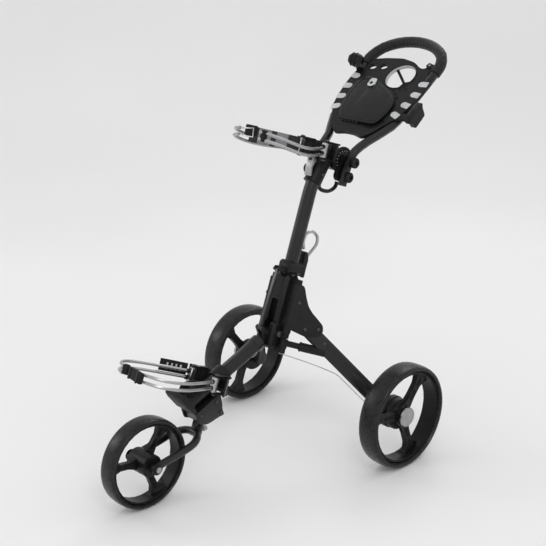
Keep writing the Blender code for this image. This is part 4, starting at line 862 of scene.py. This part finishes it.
clip = slab(bar(0.020, 0.0075, 0.4), 0.0070, 0.0016)
fit("card_clip", clip, CONSOLE @ Matrix.Translation((0.108, 0.0705,
                                                     0.0010)) @ Matrix.Rotation(math.radians(-14), 4, "Z"),
                                                     MOULDING, "handle")
screws("clip_screws", [(CONSOLE, (0.098, 0.073, 0.0080), (0, 0, 1)),
                       (CONSOLE, (0.118, 0.068, 0.0080), (0, 0, 1))], 0.0036,
       PLATED_CAP, "handle")
knuckle = lathe([(0, 0), (0.0034, 0), (0.0038, 0.0005), (0.0038, 0.0085), (0.0034, 0.0090), (0, 0.0090)],
                16)
knuckles = repeat(knuckle, 5, step=(0, 0, 0.0132), finish=MOULDING)
fit("lid_knuckles", knuckles, CONSOLE @ Matrix.Translation((-0.050, -0.1700,
                                                            TRAY_TOP + 0.0010)) @ facing("X"), MOULDING,
                                                            "handle")
lid_line = [(-0.058, -0.158), (-0.079, -0.119), (-0.089, -0.072), (-0.088, -0.036), (-0.078, -0.017),
            (-0.058, -0.008),
            (-0.022, -0.024), (0.016, -0.041), (0.053, -0.062), (0.076, -0.087), (0.077, -0.116),
            (0.066, -0.158)]
latch_plate = slab(
    [(-0.0115, 0.0100), (-0.0070, 0.0150), (0.0080, 0.0145), (0.0125, 0.0090), (0.0105, -0.0110),
     (0.0050, -0.0155),
     (-0.0050, -0.0155), (-0.0105, -0.0100)],
    0.0016, 0.0005,
)
on_latch = CONSOLE @ Matrix.Translation((-0.039, -0.025, TRAY_TOP + 0.0092))
fit("latch_plate", latch_plate, on_latch, GREY_MOULDING, "lid_catch")
# The latch eye is a thin near-black disc of painted shade standing for its hole.
latch_eye = lathe([(0, 0), (0.0052, 0), (0.0052, 0.0005), (0, 0.0005)], 24)
fit("latch_eye", latch_eye, on_latch @ Matrix.Translation((0, -0.0035, 0.0015)), PAINTED_SHADE_PATCH, "lid_catch")
raised = rod([(x, up, 0.0) for x, up in lid_line], 0.0011, 8, closed=True)
fit("lid_bead", raised, CONSOLE @ Matrix.Translation((0, 0, TRAY_TOP + 0.0068)), LID_MOULDING, "lid")
for number, (height, radius) in enumerate(((0.0005, 0.0208), (0.0130, 0.0196))):
    ball = CONSOLE @ Matrix.Translation((-0.1475, 0.045, 0.016))
    turn = Matrix.Rotation(math.radians(-68.0), 4, "Y") @ Matrix.Rotation(math.radians(12.0), 4, "X")
    fit(f"umbrella_band_{number}", ring_form(radius + 0.0006, 0.0030, 0.0020, 36),
        ball @ turn @ Matrix.Translation((0, 0, height)), MOULDING,
        "handle")

# ---------------------------------------------------------------- cradles
for cradle, matrix, owner in (("lower", LOWER, "front_frame"), ("upper", UPPER, "mast")):
    places = []
    for side, word in SIDES:
        places.append((matrix, (side * 0.045, 0, 0.0150), (0, 0, 1)))
        places.append((matrix, (side * 0.045, 0, -0.0360), (0, 0, -1)))
        sleeve = ring_form(0.0058, 0.0018, 0.0080, 20)
        arm = f"{cradle}_cradle_{word}"
        for row in (0, 1):
            height = -0.0015 - row * 0.0175
            seat = matrix @ Matrix.Translation((side * 0.0490, -0.0125, height)) @ facing("Y", -1)
            fit(f"{arm}_sleeve_{row}", sleeve.copy(), seat, MOULDING, arm)
    screws(f"{cradle}_pivot_heads", places, 0.0062, BLACK_STEEL, owner)


def cradle_point(matrix, side, across, forwards, up):
    return matrix @ Vector((side * across, -forwards, up))


# Near lower arm: two straps round its buckle block.  Upper far arm: a wire stirrup beyond its block.
buckle = LOWER @ Matrix.Translation((0.018, -0.249, -0.0102)) @ Matrix.Rotation(math.radians(-14.0), 4, "Z")
for number, x in enumerate((-0.022, 0.020)):
    strap = slab(bar(0.0042, 0.0150, 0.3), 0.0018, 0.0005)
    fit(f"buckle_strap_{number}", strap, buckle @ Matrix.Translation((x, -0.0066, 0.0)) @ facing("Y", -1),
        MOULDING,
        "lower_cradle_left")
stirrup = [cradle_point(UPPER, -1, *point) for point in (
    (0.040, 0.243, -0.002), (0.020, 0.2500, -0.001), (-0.008, 0.2530, 0.002), (-0.016, 0.2500, 0.004),
    (-0.016, 0.2460, -0.018), (0.000, 0.2500, -0.019), (0.020, 0.2480, -0.019), (0.040, 0.2430, -0.0185))]
fit("stirrup_wire", rod(stirrup, 0.0020, 8), Matrix.Identity(4), PLATED_ROD, "upper_cradle_right")
# Slots along the far plate of the lower cradle, on its inner face.
slots = repeat(slab(bar(0.0024, 0.0085, 0.6), 0.0006, 0.0002), 4, step=(0.0125, 0, 0), finish=GREY_MOULDING)
along_plate = math.atan2(-0.060, -0.026)
far_plate = LOWER @ Matrix.Translation((-0.0612, -0.0330, 0.0010)) @ Matrix.Rotation(along_plate, 4, "Z")
fit("plate_slots", slots, far_plate @ Matrix.Rotation(math.radians(90.0), 4, "X"), GREY_MOULDING,
    "lower_cradle_right")

# ---------------------------------------------------------------- floor, light and camera
floor_mesh = bpy.data.meshes.new("floor")
work = bmesh.new()
columns = []
for y, z in [(-7.0, 0.0), (2.6, 0.0)] + [(2.6 + 2.4 * math.sin(math.radians(a)),
                                          2.4 - 2.4 * math.cos(math.radians(a)))
                                        for a in range(6, 91, 6)] + [(5.0, 9.0)]:
    columns.append((work.verts.new((-9.0, y, z)), work.verts.new((9.0, y, z))))
for near, far in zip(columns, columns[1:]):
    work.faces.new((near[0], near[1], far[1], far[0]))
turn = Matrix.Rotation(math.radians(45.8), 4, "Z")
work.transform(turn)
work.to_mesh(floor_mesh)
work.free()
shade(floor_mesh, 60.0)
floor = bpy.data.objects.new("floor", floor_mesh)
bpy.context.scene.collection.objects.link(floor)
floor_mesh.materials.append(pale_floor("pale_floor"))

bpy.data.objects.remove(SCREW_FORM)

scene = bpy.context.scene
world = bpy.data.worlds.new("soft_room")
world.use_nodes = True
world.node_tree.nodes["Background"].inputs["Color"].default_value = (1.0, 1.0, 1.0, 1.0)
world.node_tree.nodes["Background"].inputs["Strength"].default_value = 0.82
scene.world = world
scene.view_settings.view_transform = "Standard"

for name, spot, aim, size, power in (
    ("key_panel", (2.4, -1.6, 3.0), (0.0, 0.0, 0.5), 1.1, 20.0),
    ("left_panel", (-2.8, -2.0, 2.0), (0.0, 0.0, 0.5), 1.2, 14.0),
    ("back_panel", (-0.8, 2.2, 2.6), (0.0, 0.0, 0.6), 1.2, 12.0),
):
    lamp = bpy.data.lights.new(name, "AREA")
    lamp.size = size
    lamp.energy = power
    light = bpy.data.objects.new(name, lamp)
    light.location = spot
    light.rotation_euler = (Vector(aim) - Vector(spot)).to_track_quat("-Z", "Y").to_euler()
    scene.collection.objects.link(light)

lens = bpy.data.cameras.new("camera")
lens.lens = 78.6
lens.sensor_width = 36.0
camera = bpy.data.objects.new("camera", lens)
camera.location = (2.1697, -2.1172, 1.5605)
camera.rotation_euler = (math.pi / 2 - 0.3315, 0.0, 0.7998)
scene.collection.objects.link(camera)
scene.camera = camera

bpy.context.view_layer.update()
